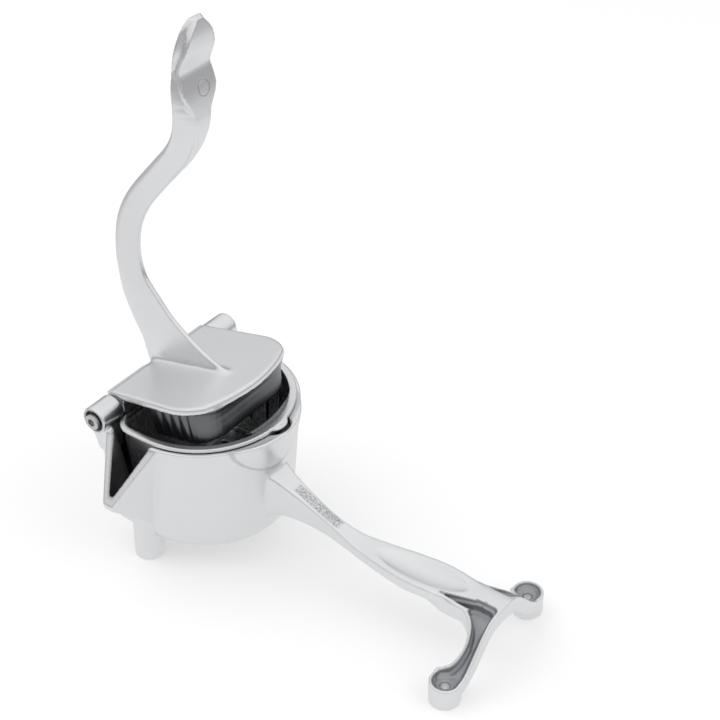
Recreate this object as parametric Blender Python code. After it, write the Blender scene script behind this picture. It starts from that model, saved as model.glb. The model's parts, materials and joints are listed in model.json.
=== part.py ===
"""Hand-lever fruit press in cast aluminium: cup with spout and T-foot handle, strainer, lever and hinge."""

import math

import bmesh
import bpy
from mathutils import Vector

MM = 0.001

# Fits between pieces.
CLEARANCE = 0.0003
SIDE_PLAY = 0.0010

# Cup: a round front with a flat back, drafted inwards towards its floor.
CUP_RADIUS = 55.5 * MM
CUP_BACK = 39.0 * MM
CUP_CORNER = 12.0 * MM
CUP_RIM = 90.0 * MM
CUP_UNDERSIDE = 16.0 * MM
CUP_WALL = 3.5 * MM
CUP_DRAFT = math.radians(4.5)
CUP_FILLET = 7.0 * MM
BACK_DROP = 6.0 * MM

# Beak of the cup, on its -Y side.
BEAK_CENTRE = -7.5 * MM
BEAK_HALF_WIDTH = 19.0 * MM
BEAK_OVERHANG = 22.5 * MM
BEAK_TIP = 57.0 * MM
BEAK_ROOT = 27.0 * MM
BEAK_WALL = 2.8 * MM
BEAK_TIP_RADIUS = 3.4 * MM

# Hinge, its axis along Y.
HINGE_X = -31.0 * MM
HINGE_Z = 94.5 * MM
EAR_STAND_OFF = 3.5 * MM
EAR_FACE = CUP_RADIUS + EAR_STAND_OFF
EAR_LENGTH = 16.5 * MM
EAR_RADIUS = 8.2 * MM
EAR_FOOT = 70.0 * MM
KNUCKLE_RADIUS = 7.0 * MM
KNUCKLE_BORE_DEPTH = 18.0 * MM
SCREW_RADIUS = 3.0 * MM
SCREW_HEAD_RADIUS = 4.8 * MM
SCREW_HEAD_HEIGHT = 5.6 * MM
SCREW_SOCKET = 2.5 * MM
SCREW_SOCKET_DEPTH = 3.0 * MM
HEAD_RECESS_RADIUS = 6.2 * MM
HEAD_RECESS_DEPTH = 4.2 * MM
WASHER_RADIUS = 6.4 * MM

# Strainer, which hangs in the cup by its rim.
STRAINER_PLAY = 1.3 * MM
STRAINER_WALL = 2.0 * MM
STRAINER_INSIDE = CUP_RADIUS - CUP_WALL - STRAINER_PLAY - STRAINER_WALL
STRAINER_BACK = 22.0 * MM
STRAINER_CORNER = 9.0 * MM
STRAINER_FLOOR = 32.0 * MM
STRAINER_DRAFT = math.radians(3.6)
STRAINER_RIM_WIDTH = 2.9 * MM
STRAINER_RIM_HEIGHT = 2.4 * MM
FLANGE_HEIGHT = 1.8 * MM
WALL_SLOTS = 15
WALL_SLOT_WIDTH = 2.4 * MM
WALL_SLOT_TOP = 78.0 * MM
WALL_SLOT_FOOT = 42.0 * MM
FLOOR_SLOT_WIDTH = 2.6 * MM
FLOOR_SLOT_PITCH = 9.0 * MM
FLOOR_SLOT_MARGIN = 13.2 * MM
FLOOR_SLOT_REACH = STRAINER_INSIDE - FLOOR_SLOT_MARGIN
# Slots at a fixed pitch fill the floor, and the outermost keeps half a pitch from the margin.
FLOOR_SLOTS = 2 * int(FLOOR_SLOT_REACH / FLOOR_SLOT_PITCH - 0.5) + 1

# Finger boss in front of the rim, over the root of the handle.
BOSS_LIP = 4.1 * MM
BOSS_REACH = CUP_RADIUS + BOSS_LIP
BOSS_HALF_WIDTH = 27.0 * MM
BOSS_FOOT = 60.0 * MM
POCKET_RADIUS = 6.0 * MM
POCKET_DEPTH = 12.0 * MM

# Round feet under the cup and under the ends of the T.
FOOT_RADIUS = 9.0 * MM
CUP_FOOT_X = -9.0 * MM
CUP_FOOT_INSET = 9.0 * MM
CUP_FOOT_Y = CUP_RADIUS - CUP_FOOT_INSET
T_CENTRE = 197.0 * MM
T_HALF_SPAN = 42.0 * MM
T_SEAT = 10.4 * MM
T_RIM = 14.0 * MM
T_UNDERSIDE = 6.0 * MM
T_WALL = 2.4 * MM
T_WAIST_WIDTH = 9.0 * MM
T_SCREW_HOLE = 2.6 * MM

# Lower handle: distance from the cup's centre, half width, top and underside.
HANDLE_SECTIONS = (
    (34.0, 23.0, 66.0, 24.0),
    (48.0, 18.0, 64.5, 28.0),
    (56.0, 9.5, 61.0, 32.0),
    (66.0, 5.6, 56.0, 33.5),
    (84.0, 4.4, 47.0, 33.0),
    (100.0, 4.9, 40.6, 30.8),
    (115.0, 7.0, 37.0, 29.5),
    (130.0, 9.8, 36.6, 28.9),
    (147.0, 12.2, 37.2, 28.6),
    (163.0, 12.6, 38.2, 30.0),
    (177.0, 11.3, 38.5, 29.4),
    (190.0, 8.6, 37.6, 29.6),
)
DISH_CENTRE = 148.0 * MM
DISH_LENGTH = 31.0 * MM
DISH_WIDTH = 9.2 * MM
DISH_DEPTH = 3.0 * MM

# Press lever: plate, press block, blade and grip, at rest with the plate raised by REST_ANGLE.
REST_ANGLE = math.radians(12.0)
PLATE_SETBACK = 12.0 * MM
PLATE_LENGTH = CUP_RADIUS - HINGE_X - PLATE_SETBACK
PLATE_SIDE_PLAY = 5.5 * MM
PLATE_HALF_WIDTH = STRAINER_INSIDE - PLATE_SIDE_PLAY
PLATE_HINGE_HALF = EAR_FACE - EAR_LENGTH - SIDE_PLAY - CLEARANCE
PLATE_LIFT = 5.2 * MM
PLATE_THICKNESS = 4.2 * MM
PLATE_FRONT_RADIUS = 74.0 * MM
PLATE_CORNER = 27.0 * MM
BLOCK_BACK = 25.0 * MM
BLOCK_SETBACK = 4.0 * MM
BLOCK_FRONT = PLATE_LENGTH - BLOCK_SETBACK
BLOCK_SCOOP = 8.5 * MM
BLOCK_SIDE_PLAY = 9.9 * MM
BLOCK_HALF_WIDTH = STRAINER_INSIDE - BLOCK_SIDE_PLAY
BLOCK_CREASE = 25.0 * MM
BLOCK_HEIGHT = 21.0 * MM
BLOCK_TAPER = 0.09
BLOCK_FLUTES = 5
FLUTE_PITCH = 6.4 * MM
FLUTE_RADIUS = 1.6 * MM
BLOCK_LEVELS = (-1.0 * MM, 3.0 * MM, 8.0 * MM, 14.0 * MM, BLOCK_HEIGHT)
# Foot of the blade on the plate: back edge and front edge, each X and Z from the hinge axis.
BLADE_FOOT = (
    ((-9.5, 5.0), (57.5, 19.5)),
    ((-10.4, 12.0), (46.2, 22.0)),
    ((-12.0, 20.0), (34.6, 25.8)),
    ((-16.4, 28.5), (21.4, 33.6)),
    ((-21.0, 38.5), (10.2, 42.4)),
    ((-24.4, 48.0), (2.0, 51.6)),
)
BLADE_HALF_THICKNESS = 2.9
# Blade and grip above the foot: X and Z from the hinge axis, half depth, half thickness across Y.
BLADE_SECTIONS = (
    (-16.3, 60.5, 9.9, 2.9),
    (-18.3, 72.0, 8.7, 2.9),
    (-18.0, 84.0, 8.1, 3.0),
    (-15.6, 96.0, 7.8, 3.1),
    (-10.6, 107.5, 7.5, 3.2),
    (-3.8, 118.0, 7.3, 3.4),
    (5.2, 129.0, 7.2, 3.7),
    (15.0, 140.5, 7.1, 4.3),
    (25.2, 152.5, 7.1, 5.8),
    (33.0, 165.0, 7.0, 9.0),
    (37.4, 177.0, 6.6, 12.2),
    (38.9, 189.0, 6.3, 13.8),
    (38.4, 201.0, 6.0, 14.0),
    (38.6, 212.0, 5.7, 12.8),
    (39.8, 222.0, 5.2, 11.0),
    (41.2, 229.4, 4.2, 8.0),
    (42.1, 234.2, 2.6, 4.6),
)

ARC_STEPS = 30
ROUND_STEPS = 28
SMOOTH_ANGLE = math.radians(32.0)


def clear_scene():
    for old in list(bpy.data.objects):
        bpy.data.objects.remove(old, do_unlink=True)


def make_material(name, colour, roughness, metallic=1.0):
    material = bpy.data.materials.new(name)
    material.use_nodes = True
    shader = material.node_tree.nodes["Principled BSDF"]
    shader.inputs["Base Color"].default_value = (*colour, 1.0)
    shader.inputs["Roughness"].default_value = roughness
    shader.inputs["Metallic"].default_value = metallic
    return material


def add_object(name, mesh_builder, material=None):
    """One mesh object whose normals point outwards."""
    bmesh.ops.recalc_face_normals(mesh_builder, faces=mesh_builder.faces[:])
    mesh = bpy.data.meshes.new(name)
    mesh_builder.to_mesh(mesh)
    mesh_builder.free()
    mesh.shade_smooth()
    mesh.set_sharp_from_angle(angle=SMOOTH_ANGLE)
    item = bpy.data.objects.new(name, mesh)
    bpy.context.scene.collection.objects.link(item)
    if material:
        mesh.materials.append(material)
    return item


def loft(name, rings, material=None):
    """Closed solid through rings that have the same number of points, with flat ends."""
    builder = bmesh.new()
    loops = [[builder.verts.new(point) for point in ring] for ring in rings]
    count = len(loops[0])
    for lower, upper in zip(loops, loops[1:]):
        for i in range(count):
            j = (i + 1) % count
            builder.faces.new((lower[i], lower[j], upper[j], upper[i]))
    builder.faces.new(loops[0][::-1])
    builder.faces.new(loops[-1])
    return add_object(name, builder, material)


def hull(name, points, material=None):
    builder = bmesh.new()
    for point in points:
        builder.verts.new(point)
    made = bmesh.ops.convex_hull(builder, input=builder.verts[:])
    inside = list(dict.fromkeys(made["geom_interior"] + made["geom_unused"]))
    loose = [part for part in inside if isinstance(part, bmesh.types.BMVert)]
    bmesh.ops.delete(builder, geom=loose)
    return add_object(name, builder, material)


def prism(name, outline, low, high, material=None):
    """An outline in the XY plane between two heights."""
    rings = [[(x, y, z) for x, y in outline] for z in (low, high)]
    return loft(name, rings, material)


def rod_along_y(name, x, z, radius, start, end, steps=ROUND_STEPS, material=None):
    rings = []
    for y in (start, end):
        ring = []
        for i in range(steps):
            angle = 2 * math.pi * (i + 0.5) / steps
            ring.append((x + radius * math.cos(angle), y, z + radius * math.sin(angle)))
        rings.append(ring)
    return loft(name, rings, material)


def disc_points(x, y, z, radius, steps=ROUND_STEPS):
    turns = [2 * math.pi * (i + 0.5) / steps for i in range(steps)]
    return [(x + radius * math.cos(turn), y + radius * math.sin(turn), z) for turn in turns]


def combine(item, other, operation):
    """Boolean of two solids; the second stays as a hidden construction shape."""
    modifier = item.modifiers.new(f"{operation.lower()}_{other.name}", "BOOLEAN")
    modifier.operation = operation
    modifier.solver = "EXACT"
    modifier.object = other
    other.hide_render = True
    other.display_type = "WIRE"


def join(item, *others):
    for other in others:
        combine(item, other, "UNION")


def cut(item, *others):
    for other in others:
        combine(item, other, "DIFFERENCE")


def arc(centre, radius, start, end, steps):
    """Points of an arc in a plane, angles in degrees."""
    points = []
    for i in range(steps + 1):
        angle = math.radians(start + (end - start) * i / steps)
        points.append((centre[0] + radius * math.cos(angle), centre[1] + radius * math.sin(angle)))
    return points


def bowl_outline(radius, back, corner):
    """Round front, straight sides and a flat back with rounded corners, anticlockwise."""
    side = min(-back + corner, -0.0005)
    half = radius
    if back < 0.6 * radius:
        # The flat back cuts the circle itself, and its corners are rounded off.
        reach = math.sqrt((radius - corner) ** 2 - (back - corner) ** 2)
        lean = math.degrees(math.atan2(reach, -(back - corner)))
        points = arc((0, 0), radius, -lean, lean, ARC_STEPS)
        points += arc((-back + corner, reach), corner, lean, 180, 5)[1:]
        points += arc((-back + corner, -reach), corner, 180, 360 - lean, 5)[:-1]
        return points
    points = arc((0, 0), radius, -90, 90, ARC_STEPS)
    points += arc((side, half - corner), corner, 90, 180, 5)
    points += arc((side, -half + corner), corner, 180, 270, 5)
    return points


def bowl_ring(radius, back, corner, inset, height):
    outline = bowl_outline(radius - inset, back - inset, max(corner - inset, 1.5 * MM))
    return [(x, y, height) for x, y in outline]


def cup_rings(inset, foot, top):
    """Rings of the cup's shape, moved inwards by inset, from foot up to top."""
    rings = []
    fillet = max(CUP_FILLET - inset, 2.0 * MM)
    for step in range(5):
        turn = math.radians(90 * step / 4)
        height = foot + fillet * (1 - math.cos(turn))
        draft = (CUP_RIM - height) * math.tan(CUP_DRAFT)
        round_off = fillet * (1 - math.sin(turn))
        rings.append(bowl_ring(CUP_RADIUS, CUP_BACK, CUP_CORNER, inset + draft + round_off, height))
    draft = (CUP_RIM - top) * math.tan(CUP_DRAFT)
    rings.append(bowl_ring(CUP_RADIUS, CUP_BACK, CUP_CORNER, inset + draft, top))
    return rings


def beak_points(inset, over):
    """Corners of the beak, moved inwards by inset and lifted above its sloping mouth by over."""
    wall_y = -CUP_RADIUS
    half = BEAK_HALF_WIDTH - inset
    tip_y = -CUP_RADIUS - BEAK_OVERHANG + 1.4 * inset
    low = BEAK_ROOT + 2.2 * inset
    tip_low = BEAK_TIP - BEAK_TIP_RADIUS + 2.0 * inset
    tip_half = max(BEAK_TIP_RADIUS - inset, 0.8 * MM)
    inner_y = wall_y + 16 * MM
    points = []
    for sign in (-1, 1):
        points.append((BEAK_CENTRE + sign * half, inner_y, CUP_RIM + over))
        points.append((BEAK_CENTRE + sign * half, wall_y + 1.6 * MM, CUP_RIM + over))
        points.append((BEAK_CENTRE + sign * half * 0.8, inner_y, low))
        points.append((BEAK_CENTRE + sign * half * 0.35, wall_y + 5.5 * MM, low))
        points.append((BEAK_CENTRE + sign * tip_half, tip_y, BEAK_TIP + over))
        points.append((BEAK_CENTRE + sign * tip_half * 0.7, tip_y + 0.8 * MM, tip_low))
    return points


def make_ear(side):
    """Hinge ear with its gusset, on the side given by -1 or 1."""
    inner = side * (EAR_FACE - EAR_LENGTH)
    outer = side * EAR_FACE
    barrel = rod_along_y(f"ear_barrel_{side}", HINGE_X, HINGE_Z, EAR_RADIUS, inner, outer)
    points = []
    reach = EAR_RADIUS - 0.2 * MM
    for y in (side * (EAR_FACE - EAR_LENGTH), side * (EAR_FACE - 3.0 * MM)):
        for step in range(9):
            turn = math.pi + math.pi * step / 8
            points.append((HINGE_X + reach * math.cos(turn), y, HINGE_Z + reach * math.sin(turn)))
    for x in (HINGE_X - 5.0 * MM, HINGE_X + EAR_RADIUS):
        points.append((x, side * (CUP_RADIUS - 5.0 * MM), EAR_FOOT))
        points.append((x, side * (EAR_FACE - EAR_LENGTH), CUP_RIM - 16 * MM))
    gusset = hull(f"ear_gusset_{side}", points)
    return barrel, gusset


def rounded_section(centre, along, across, half_depth, half_width, steps=16, power=0.62):
    """A rounded rectangle around a point, spanned by two directions."""
    ring = []
    for i in range(steps):
        turn = 2 * math.pi * (i + 0.5) / steps
        u = math.copysign(abs(math.cos(turn)) ** power, math.cos(turn)) * half_depth
        v = math.copysign(abs(math.sin(turn)) ** power, math.sin(turn)) * half_width
        ring.append(centre + along * u + across * v)
    return ring


def make_handle():
    rings = []
    for x, half, top, low in HANDLE_SECTIONS:
        centre = Vector((x * MM, 0, (top + low) / 2 * MM))
        depth = (top - low) / 2 * MM
        rings.append(rounded_section(centre, Vector((0, 0, 1)), Vector((0, 1, 0)), depth, half * MM))
    return loft("handle", rings)


def t_outline(inset):
    """Plan of the T: stem, curved waist of each arm, round ends and a straight outer side."""
    radius = FOOT_RADIUS - inset
    front = T_CENTRE + FOOT_RADIUS - inset
    waist = front + inset - T_WAIST_WIDTH + inset
    half = [(T_CENTRE - 26 * MM, 9.0 * MM - inset), (T_CENTRE - 20 * MM, 10.9 * MM - inset)]
    half += [(T_CENTRE - 13 * MM, 11.2 * MM - inset), (T_CENTRE - 6.5 * MM, 13.6 * MM - 0.6 * inset)]
    half += [(waist - 1.6 * MM, 18.2 * MM), (waist, 24.5 * MM), (waist - 1.6 * MM, 30.5 * MM)]
    half += arc((T_CENTRE, T_HALF_SPAN), radius, 215, 0, 11)
    half += [(front, T_HALF_SPAN - 14.0 * MM), (front + 0.4 * MM, 12.0 * MM)]
    return half + [(x, -y) for x, y in reversed(half)]


def arch(heights, side_end):
    """Outline across the T from pairs of distance and height, mirrored about its middle."""
    right = [(y * MM, z) for y, z in heights] + [(side_end, heights[-1][1])]
    return [(-y, z) for y, z in reversed(right)] + right[1:]


def cross_prism(name, outline):
    """Prism along X through the whole T from an outline of distances across and heights."""
    rings = [[(x, y, z) for y, z in outline] for x in (T_CENTRE - 60 * MM, T_CENTRE + 30 * MM)]
    return loft(name, rings)


def make_t_foot():
    """The T, whose arms come down from the stem to the feet like an arch."""
    body = prism("t_plan", t_outline(0.0), 0.0, 60 * MM)
    stem_top = HANDLE_SECTIONS[-2][2] * MM - 0.3 * MM
    stem_low = HANDLE_SECTIONS[-1][3] * MM - 0.9 * MM
    top = [(0, stem_top), (10, stem_top - 0.6 * MM)]
    top += [(18, 32.5 * MM), (26, 24.5 * MM), (34, 16.6 * MM), (40, T_RIM)]
    low = [(0, stem_low), (9, stem_low - 1.4 * MM)]
    low += [(16, 22 * MM), (24, 14 * MM), (31, 8.5 * MM), (39, T_UNDERSIDE)]
    far = T_HALF_SPAN + 20 * MM
    profile = cross_prism("t_profile", arch(low, far) + arch(top, far)[::-1])
    combine(body, profile, "INTERSECT")
    return body


def make_t_channel(side):
    """Open channel of one arm: inside its walls, down to a floor that follows the arch."""
    plan = [(x, y) for x, y in t_outline(T_WALL) if x > T_CENTRE - 24 * MM and side * y > 0]
    near = side * 6.5 * MM
    plan = [(T_CENTRE - 21 * MM, near)] + plan + [(T_CENTRE + 3.0 * MM, near)]
    if side < 0:
        plan = [(T_CENTRE + 3.0 * MM, near)] + [p for p in plan[1:-1]] + [(T_CENTRE - 21 * MM, near)]
    channel = prism(f"t_channel_{side}", plan, 0.0, 70 * MM)
    floor = [(4, 34.5), (9, 32.0), (18, 26.0), (26, 18.5), (33, 12.2), (37, T_SEAT / MM), (60, T_SEAT / MM)]
    above = [(60, 75.0), (4, 75.0)]
    outline = [(side * y * MM, z * MM) for y, z in floor + above]
    combine(channel, cross_prism(f"t_channel_floor_{side}", outline), "INTERSECT")
    return channel


def make_base(material):
    base = loft("base_casting", cup_rings(0.0, CUP_UNDERSIDE, CUP_RIM), material)
    beak = hull("beak_outer", beak_points(0.0, 0.0))
    boss_points = []
    for sign in (-1, 1):
        boss_points.append((BOSS_REACH - 23.6 * MM, sign * BOSS_HALF_WIDTH, CUP_RIM))
        boss_points.append((BOSS_REACH - 11.0 * MM, sign * BOSS_HALF_WIDTH * 0.72, CUP_RIM))
        boss_points.append((BOSS_REACH - 2.2 * MM, sign * BOSS_HALF_WIDTH * 0.36, CUP_RIM))
        boss_points.append((BOSS_REACH - 19.6 * MM, sign * BOSS_HALF_WIDTH * 0.5, BOSS_FOOT))
    boss_points.append((BOSS_REACH, 0, CUP_RIM))
    boss_points.append((CUP_RADIUS - 4.0 * MM, 0, BOSS_FOOT - 4 * MM))
    boss = hull("finger_boss", boss_points)
    handle = make_handle()
    t_foot = make_t_foot()
    join(base, beak, boss, handle, t_foot)
    for side in (-1, 1):
        high = CUP_UNDERSIDE + 5 * MM
        foot = loft(
            f"cup_foot_{side}",
            [
                disc_points(CUP_FOOT_X, side * CUP_FOOT_Y, 0, FOOT_RADIUS - 0.6 * MM),
                disc_points(CUP_FOOT_X, side * CUP_FOOT_Y, 1.2 * MM, FOOT_RADIUS),
                disc_points(CUP_FOOT_X, side * (CUP_FOOT_Y - 1.2 * MM), high + 6 * MM, FOOT_RADIUS),
            ],
        )
        pad = prism(
            f"t_foot_{side}",
            [point[:2] for point in disc_points(T_CENTRE, side * T_HALF_SPAN, 0, FOOT_RADIUS - 0.05 * MM)],
            0.0,
            T_UNDERSIDE + 2 * MM,
        )
        join(base, foot, pad)
    cut_base(base)
    return base


def cut_base(base):
    """Hollows the cup and the beak, and makes the recesses and bores."""
    floor = CUP_UNDERSIDE + CUP_WALL
    hollow = loft("cup_hollow", cup_rings(CUP_WALL, floor, CUP_RIM + 20 * MM))
    spout = hull("beak_hollow", beak_points(BEAK_WALL, 30 * MM))
    cut(base, hollow, spout)
    # The back wall is lower between the ears, where the knuckle turns.
    half = EAR_FACE - EAR_LENGTH + 0.2 * MM
    drop = CUP_RIM - BACK_DROP
    outline = [(-60 * MM, -half), (-16 * MM, -half), (-16 * MM, half), (-60 * MM, half)]
    cut(base, prism("back_drop", outline, drop, CUP_RIM + 30 * MM))
    for side in (-1, 1):
        join(base, *make_ear(side))
    pocket = [
        disc_points(CUP_RADIUS - 5.5 * MM, 0, CUP_RIM - POCKET_DEPTH, POCKET_RADIUS * 0.8),
        disc_points(CUP_RADIUS - 4.5 * MM, 0, CUP_RIM + 2 * MM, POCKET_RADIUS),
    ]
    cut(base, loft("finger_pocket", pocket))
    dish = bmesh.new()
    bmesh.ops.create_uvsphere(dish, u_segments=24, v_segments=12, radius=1.0)
    ball_rise = 5.0 * MM
    top = 37.3 * MM
    for vertex in dish.verts:
        x, y, z = vertex.co
        vertex.co = (
            DISH_CENTRE + x * DISH_LENGTH * 1.25,
            y * DISH_WIDTH * 1.25,
            top + ball_rise + z * (ball_rise + DISH_DEPTH),
        )
    cut(base, add_object("thumb_dish", dish))
    for side in (-1, 1):
        cut(base, make_t_channel(side))
        hole = [point[:2] for point in disc_points(T_CENTRE, side * T_HALF_SPAN, 0, T_SCREW_HOLE, 12)]
        cut(base, prism(f"t_screw_hole_{side}", hole, -1 * MM, 30 * MM))
        bore = rod_along_y(
            f"ear_bore_{side}",
            HINGE_X,
            HINGE_Z,
            SCREW_RADIUS + CLEARANCE,
            side * (EAR_FACE - EAR_LENGTH - 5 * MM),
            side * (EAR_FACE + 5 * MM),
            20,
        )
        recess = rod_along_y(
            f"head_recess_{side}",
            HINGE_X,
            HINGE_Z,
            HEAD_RECESS_RADIUS,
            side * (EAR_FACE - HEAD_RECESS_DEPTH),
            side * (EAR_FACE + 5 * MM),
        )
        cut(base, bore, recess)


def strainer_ring(inset, height):
    """Ring of the strainer's wall, which hangs inside the cup with play all round."""
    draft = (CUP_RIM - height) * math.tan(STRAINER_DRAFT)
    radius = CUP_RADIUS - CUP_WALL - STRAINER_PLAY - inset - draft
    back = STRAINER_BACK - inset - draft * 0.5
    corner = max(STRAINER_CORNER - inset, 3 * MM)
    return [(x, y, height) for x, y in bowl_outline(radius, back, corner)]


def make_strainer(material):
    seat = CUP_RIM + CLEARANCE
    top = seat + STRAINER_RIM_HEIGHT
    rings = [
        strainer_ring(4.5 * MM, STRAINER_FLOOR),
        strainer_ring(1.2 * MM, STRAINER_FLOOR + 1.2 * MM),
        strainer_ring(0.0, STRAINER_FLOOR + 4.5 * MM),
        strainer_ring(0.0, seat),
    ]
    strainer = loft("strainer_basket", rings, material)
    wide = CUP_RADIUS - 2.0 * MM
    flange = [point for point in arc((0, 0), wide, -10, 58, 12)]
    flange += arc((0, 0), CUP_RADIUS - 8 * MM, 58, -10, 8)
    tab = [(9.6, -11.0), (3.4, -4.0), (1.2, 4.0), (5.0, 14.0), (10.6, 24.0), (15.6, 10.0)]
    tab = [(BOSS_REACH - short * MM, y * MM) for short, y in tab]
    bead = bowl_outline(
        CUP_RADIUS - CUP_WALL - STRAINER_PLAY - 0.4 * MM + STRAINER_RIM_WIDTH - STRAINER_WALL + 1.6 * MM,
        STRAINER_BACK,
        STRAINER_CORNER,
    )
    join(
        strainer,
        prism("rim_bead", bead, seat, top),
        prism("rim_flange", flange, seat + 0.01 * MM, seat + FLANGE_HEIGHT),
        prism("pull_tab", tab, seat + 0.02 * MM, seat + FLANGE_HEIGHT + 0.01 * MM),
    )
    inner_floor = STRAINER_FLOOR + STRAINER_WALL
    hollow = [
        strainer_ring(5.5 * MM, inner_floor),
        strainer_ring(STRAINER_WALL + 1.0 * MM, inner_floor + 1.2 * MM),
        strainer_ring(STRAINER_WALL, inner_floor + 4.0 * MM),
        strainer_ring(STRAINER_WALL, CUP_RIM + 12 * MM),
    ]
    cut(strainer, loft("strainer_hollow", hollow))
    cut(strainer, *strainer_slots())
    return strainer


def strainer_slots():
    slots = []
    for i in range(WALL_SLOTS):
        angle = math.radians(-112 + 224 * i / (WALL_SLOTS - 1))
        out = Vector((math.cos(angle), math.sin(angle), 0))
        side = Vector((-out.y, out.x, 0)) * (WALL_SLOT_WIDTH / 2)
        near = out * (CUP_RADIUS - 18 * MM)
        far = out * (CUP_RADIUS - 1 * MM)
        outline = [near - side, far - side, far + side, near + side]
        plan = [(point.x, point.y) for point in outline]
        slots.append(prism(f"wall_slot_{i}", plan, WALL_SLOT_FOOT, WALL_SLOT_TOP))
    for i in range(FLOOR_SLOTS):
        y = (i - (FLOOR_SLOTS - 1) / 2) * FLOOR_SLOT_PITCH
        half = FLOOR_SLOT_WIDTH / 2
        reach = math.sqrt(FLOOR_SLOT_REACH**2 - y**2)
        low = -STRAINER_BACK + 10 * MM
        plan = [(low, y - half), (reach, y - half), (reach, y + half), (low, y + half)]
        slots.append(prism(f"floor_slot_{i}", plan, STRAINER_FLOOR - 2 * MM, STRAINER_FLOOR + 4 * MM))
    return slots


def plate_outline(inset, front_inset=None):
    """Plan of the press plate from the hinge axis outwards: straight sides and a shallow round front."""
    front_inset = inset if front_inset is None else front_inset
    half = PLATE_HALF_WIDTH - inset
    tip = PLATE_LENGTH - front_inset
    centre = tip - PLATE_FRONT_RADIUS
    corner = PLATE_CORNER
    reach_y = half - corner
    reach_x = centre + math.sqrt((PLATE_FRONT_RADIUS - corner) ** 2 - reach_y**2)
    lean = math.degrees(math.atan2(reach_y, reach_x - centre))
    side = [(0.0, PLATE_HINGE_HALF - inset), (12 * MM, PLATE_HINGE_HALF - inset)]
    side.append((26 * MM, half))
    side += arc((reach_x, reach_y), corner, 90, lean, 7)
    front = arc((centre, 0), PLATE_FRONT_RADIUS, lean, -lean, 12)[1:-1]
    return side + front + [(x, -y) for x, y in reversed(side)]


def block_ring(depth):
    """Ring of the press block at a depth under the plate, with creases beside its scooped front."""
    half = BLOCK_HALF_WIDTH - BLOCK_TAPER * depth
    sunk = min(max(depth / BLOCK_HEIGHT, 0.0), 1.0)
    front = BLOCK_FRONT - BLOCK_SCOOP * (1 - (1 - sunk) ** 2)
    crease = (front - 2.5 * MM, BLOCK_CREASE - BLOCK_TAPER * depth)
    shoulder = (front - 18 * MM, half)
    side = [(BLOCK_BACK + BLOCK_TAPER * depth, half - 6 * MM), (BLOCK_BACK + 6 * MM, half), shoulder]
    for step in range(1, 5):
        turn = math.radians(90 * step / 5)
        x = shoulder[0] + (crease[0] - shoulder[0]) * math.sin(turn)
        y = crease[1] + (shoulder[1] - crease[1]) * math.cos(turn)
        side.append((x, y))
    side += [crease, (front - 0.6 * MM, crease[1] / 2)]
    outline = side + [(front, 0.0)] + [(x, -y) for x, y in reversed(side)]
    return [(x, y, PLATE_LIFT - depth) for x, y in outline]


def make_lever(material):
    """Plate, press block, blade and grip in one casting, modelled about the hinge axis."""
    tilt = REST_ANGLE
    turned = Vector((math.cos(tilt), 0, math.sin(tilt)))
    normal = Vector((-math.sin(tilt), 0, math.cos(tilt)))

    def lay(points):
        return [turned * x + Vector((0, y, 0)) + normal * z for x, y, z in points]

    low = PLATE_LIFT
    high = PLATE_LIFT + PLATE_THICKNESS
    plate_rings = [
        lay([(x, y, low) for x, y in plate_outline(0.8 * MM)]),
        lay([(x, y, low + 0.9 * MM) for x, y in plate_outline(0.0)]),
        lay([(x, y, high - 0.9 * MM) for x, y in plate_outline(0.0)]),
        lay([(x, y, high) for x, y in plate_outline(0.8 * MM)]),
    ]
    lever = loft("press_lever", plate_rings, material)
    half = PLATE_HINGE_HALF
    knuckle = rod_along_y("knuckle", 0.0, 0.0, KNUCKLE_RADIUS, -half, half)
    web_points = []
    for y in (-PLATE_HINGE_HALF + 0.5 * MM, PLATE_HINGE_HALF - 0.5 * MM):
        for x, z in ((-KNUCKLE_RADIUS * 0.85, 2.5 * MM), (4 * MM, 0.0), (11 * MM, low + 0.5 * MM)):
            web_points.append((x, y, z))
        web_points.append((-3.5 * MM, y, high - 0.4 * MM))
        web_points.append((9 * MM, y, high - 0.4 * MM))
    web = hull("knuckle_web", lay(web_points))
    block = loft("press_block", [lay(block_ring(depth)) for depth in BLOCK_LEVELS])
    join(lever, knuckle, web, block, make_blade())
    for side in (-1, 1):
        bore = rod_along_y(
            f"knuckle_bore_{side}",
            0.0,
            0.0,
            SCREW_RADIUS + CLEARANCE,
            side * (half - KNUCKLE_BORE_DEPTH),
            side * (half + 5 * MM),
            20,
        )
        cut(lever, bore)
        for i in range(BLOCK_FLUTES):
            x = BLOCK_BACK + 8 * MM + i * FLUTE_PITCH
            flute = []
            for depth in (0.4 * MM, BLOCK_HEIGHT + 2 * MM):
                y = side * (BLOCK_HALF_WIDTH - BLOCK_TAPER * depth + 0.5 * MM)
                ring = arc((x, y), FLUTE_RADIUS, 0, 315, 7)
                flute.append(lay([(px, py, PLATE_LIFT - depth) for px, py in ring]))
            cut(lever, loft(f"flute_{side}_{i}", flute))
    lever.location = (HINGE_X, 0, HINGE_Z)
    for other in lever.modifiers:
        other.object.parent = lever
    return lever


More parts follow.
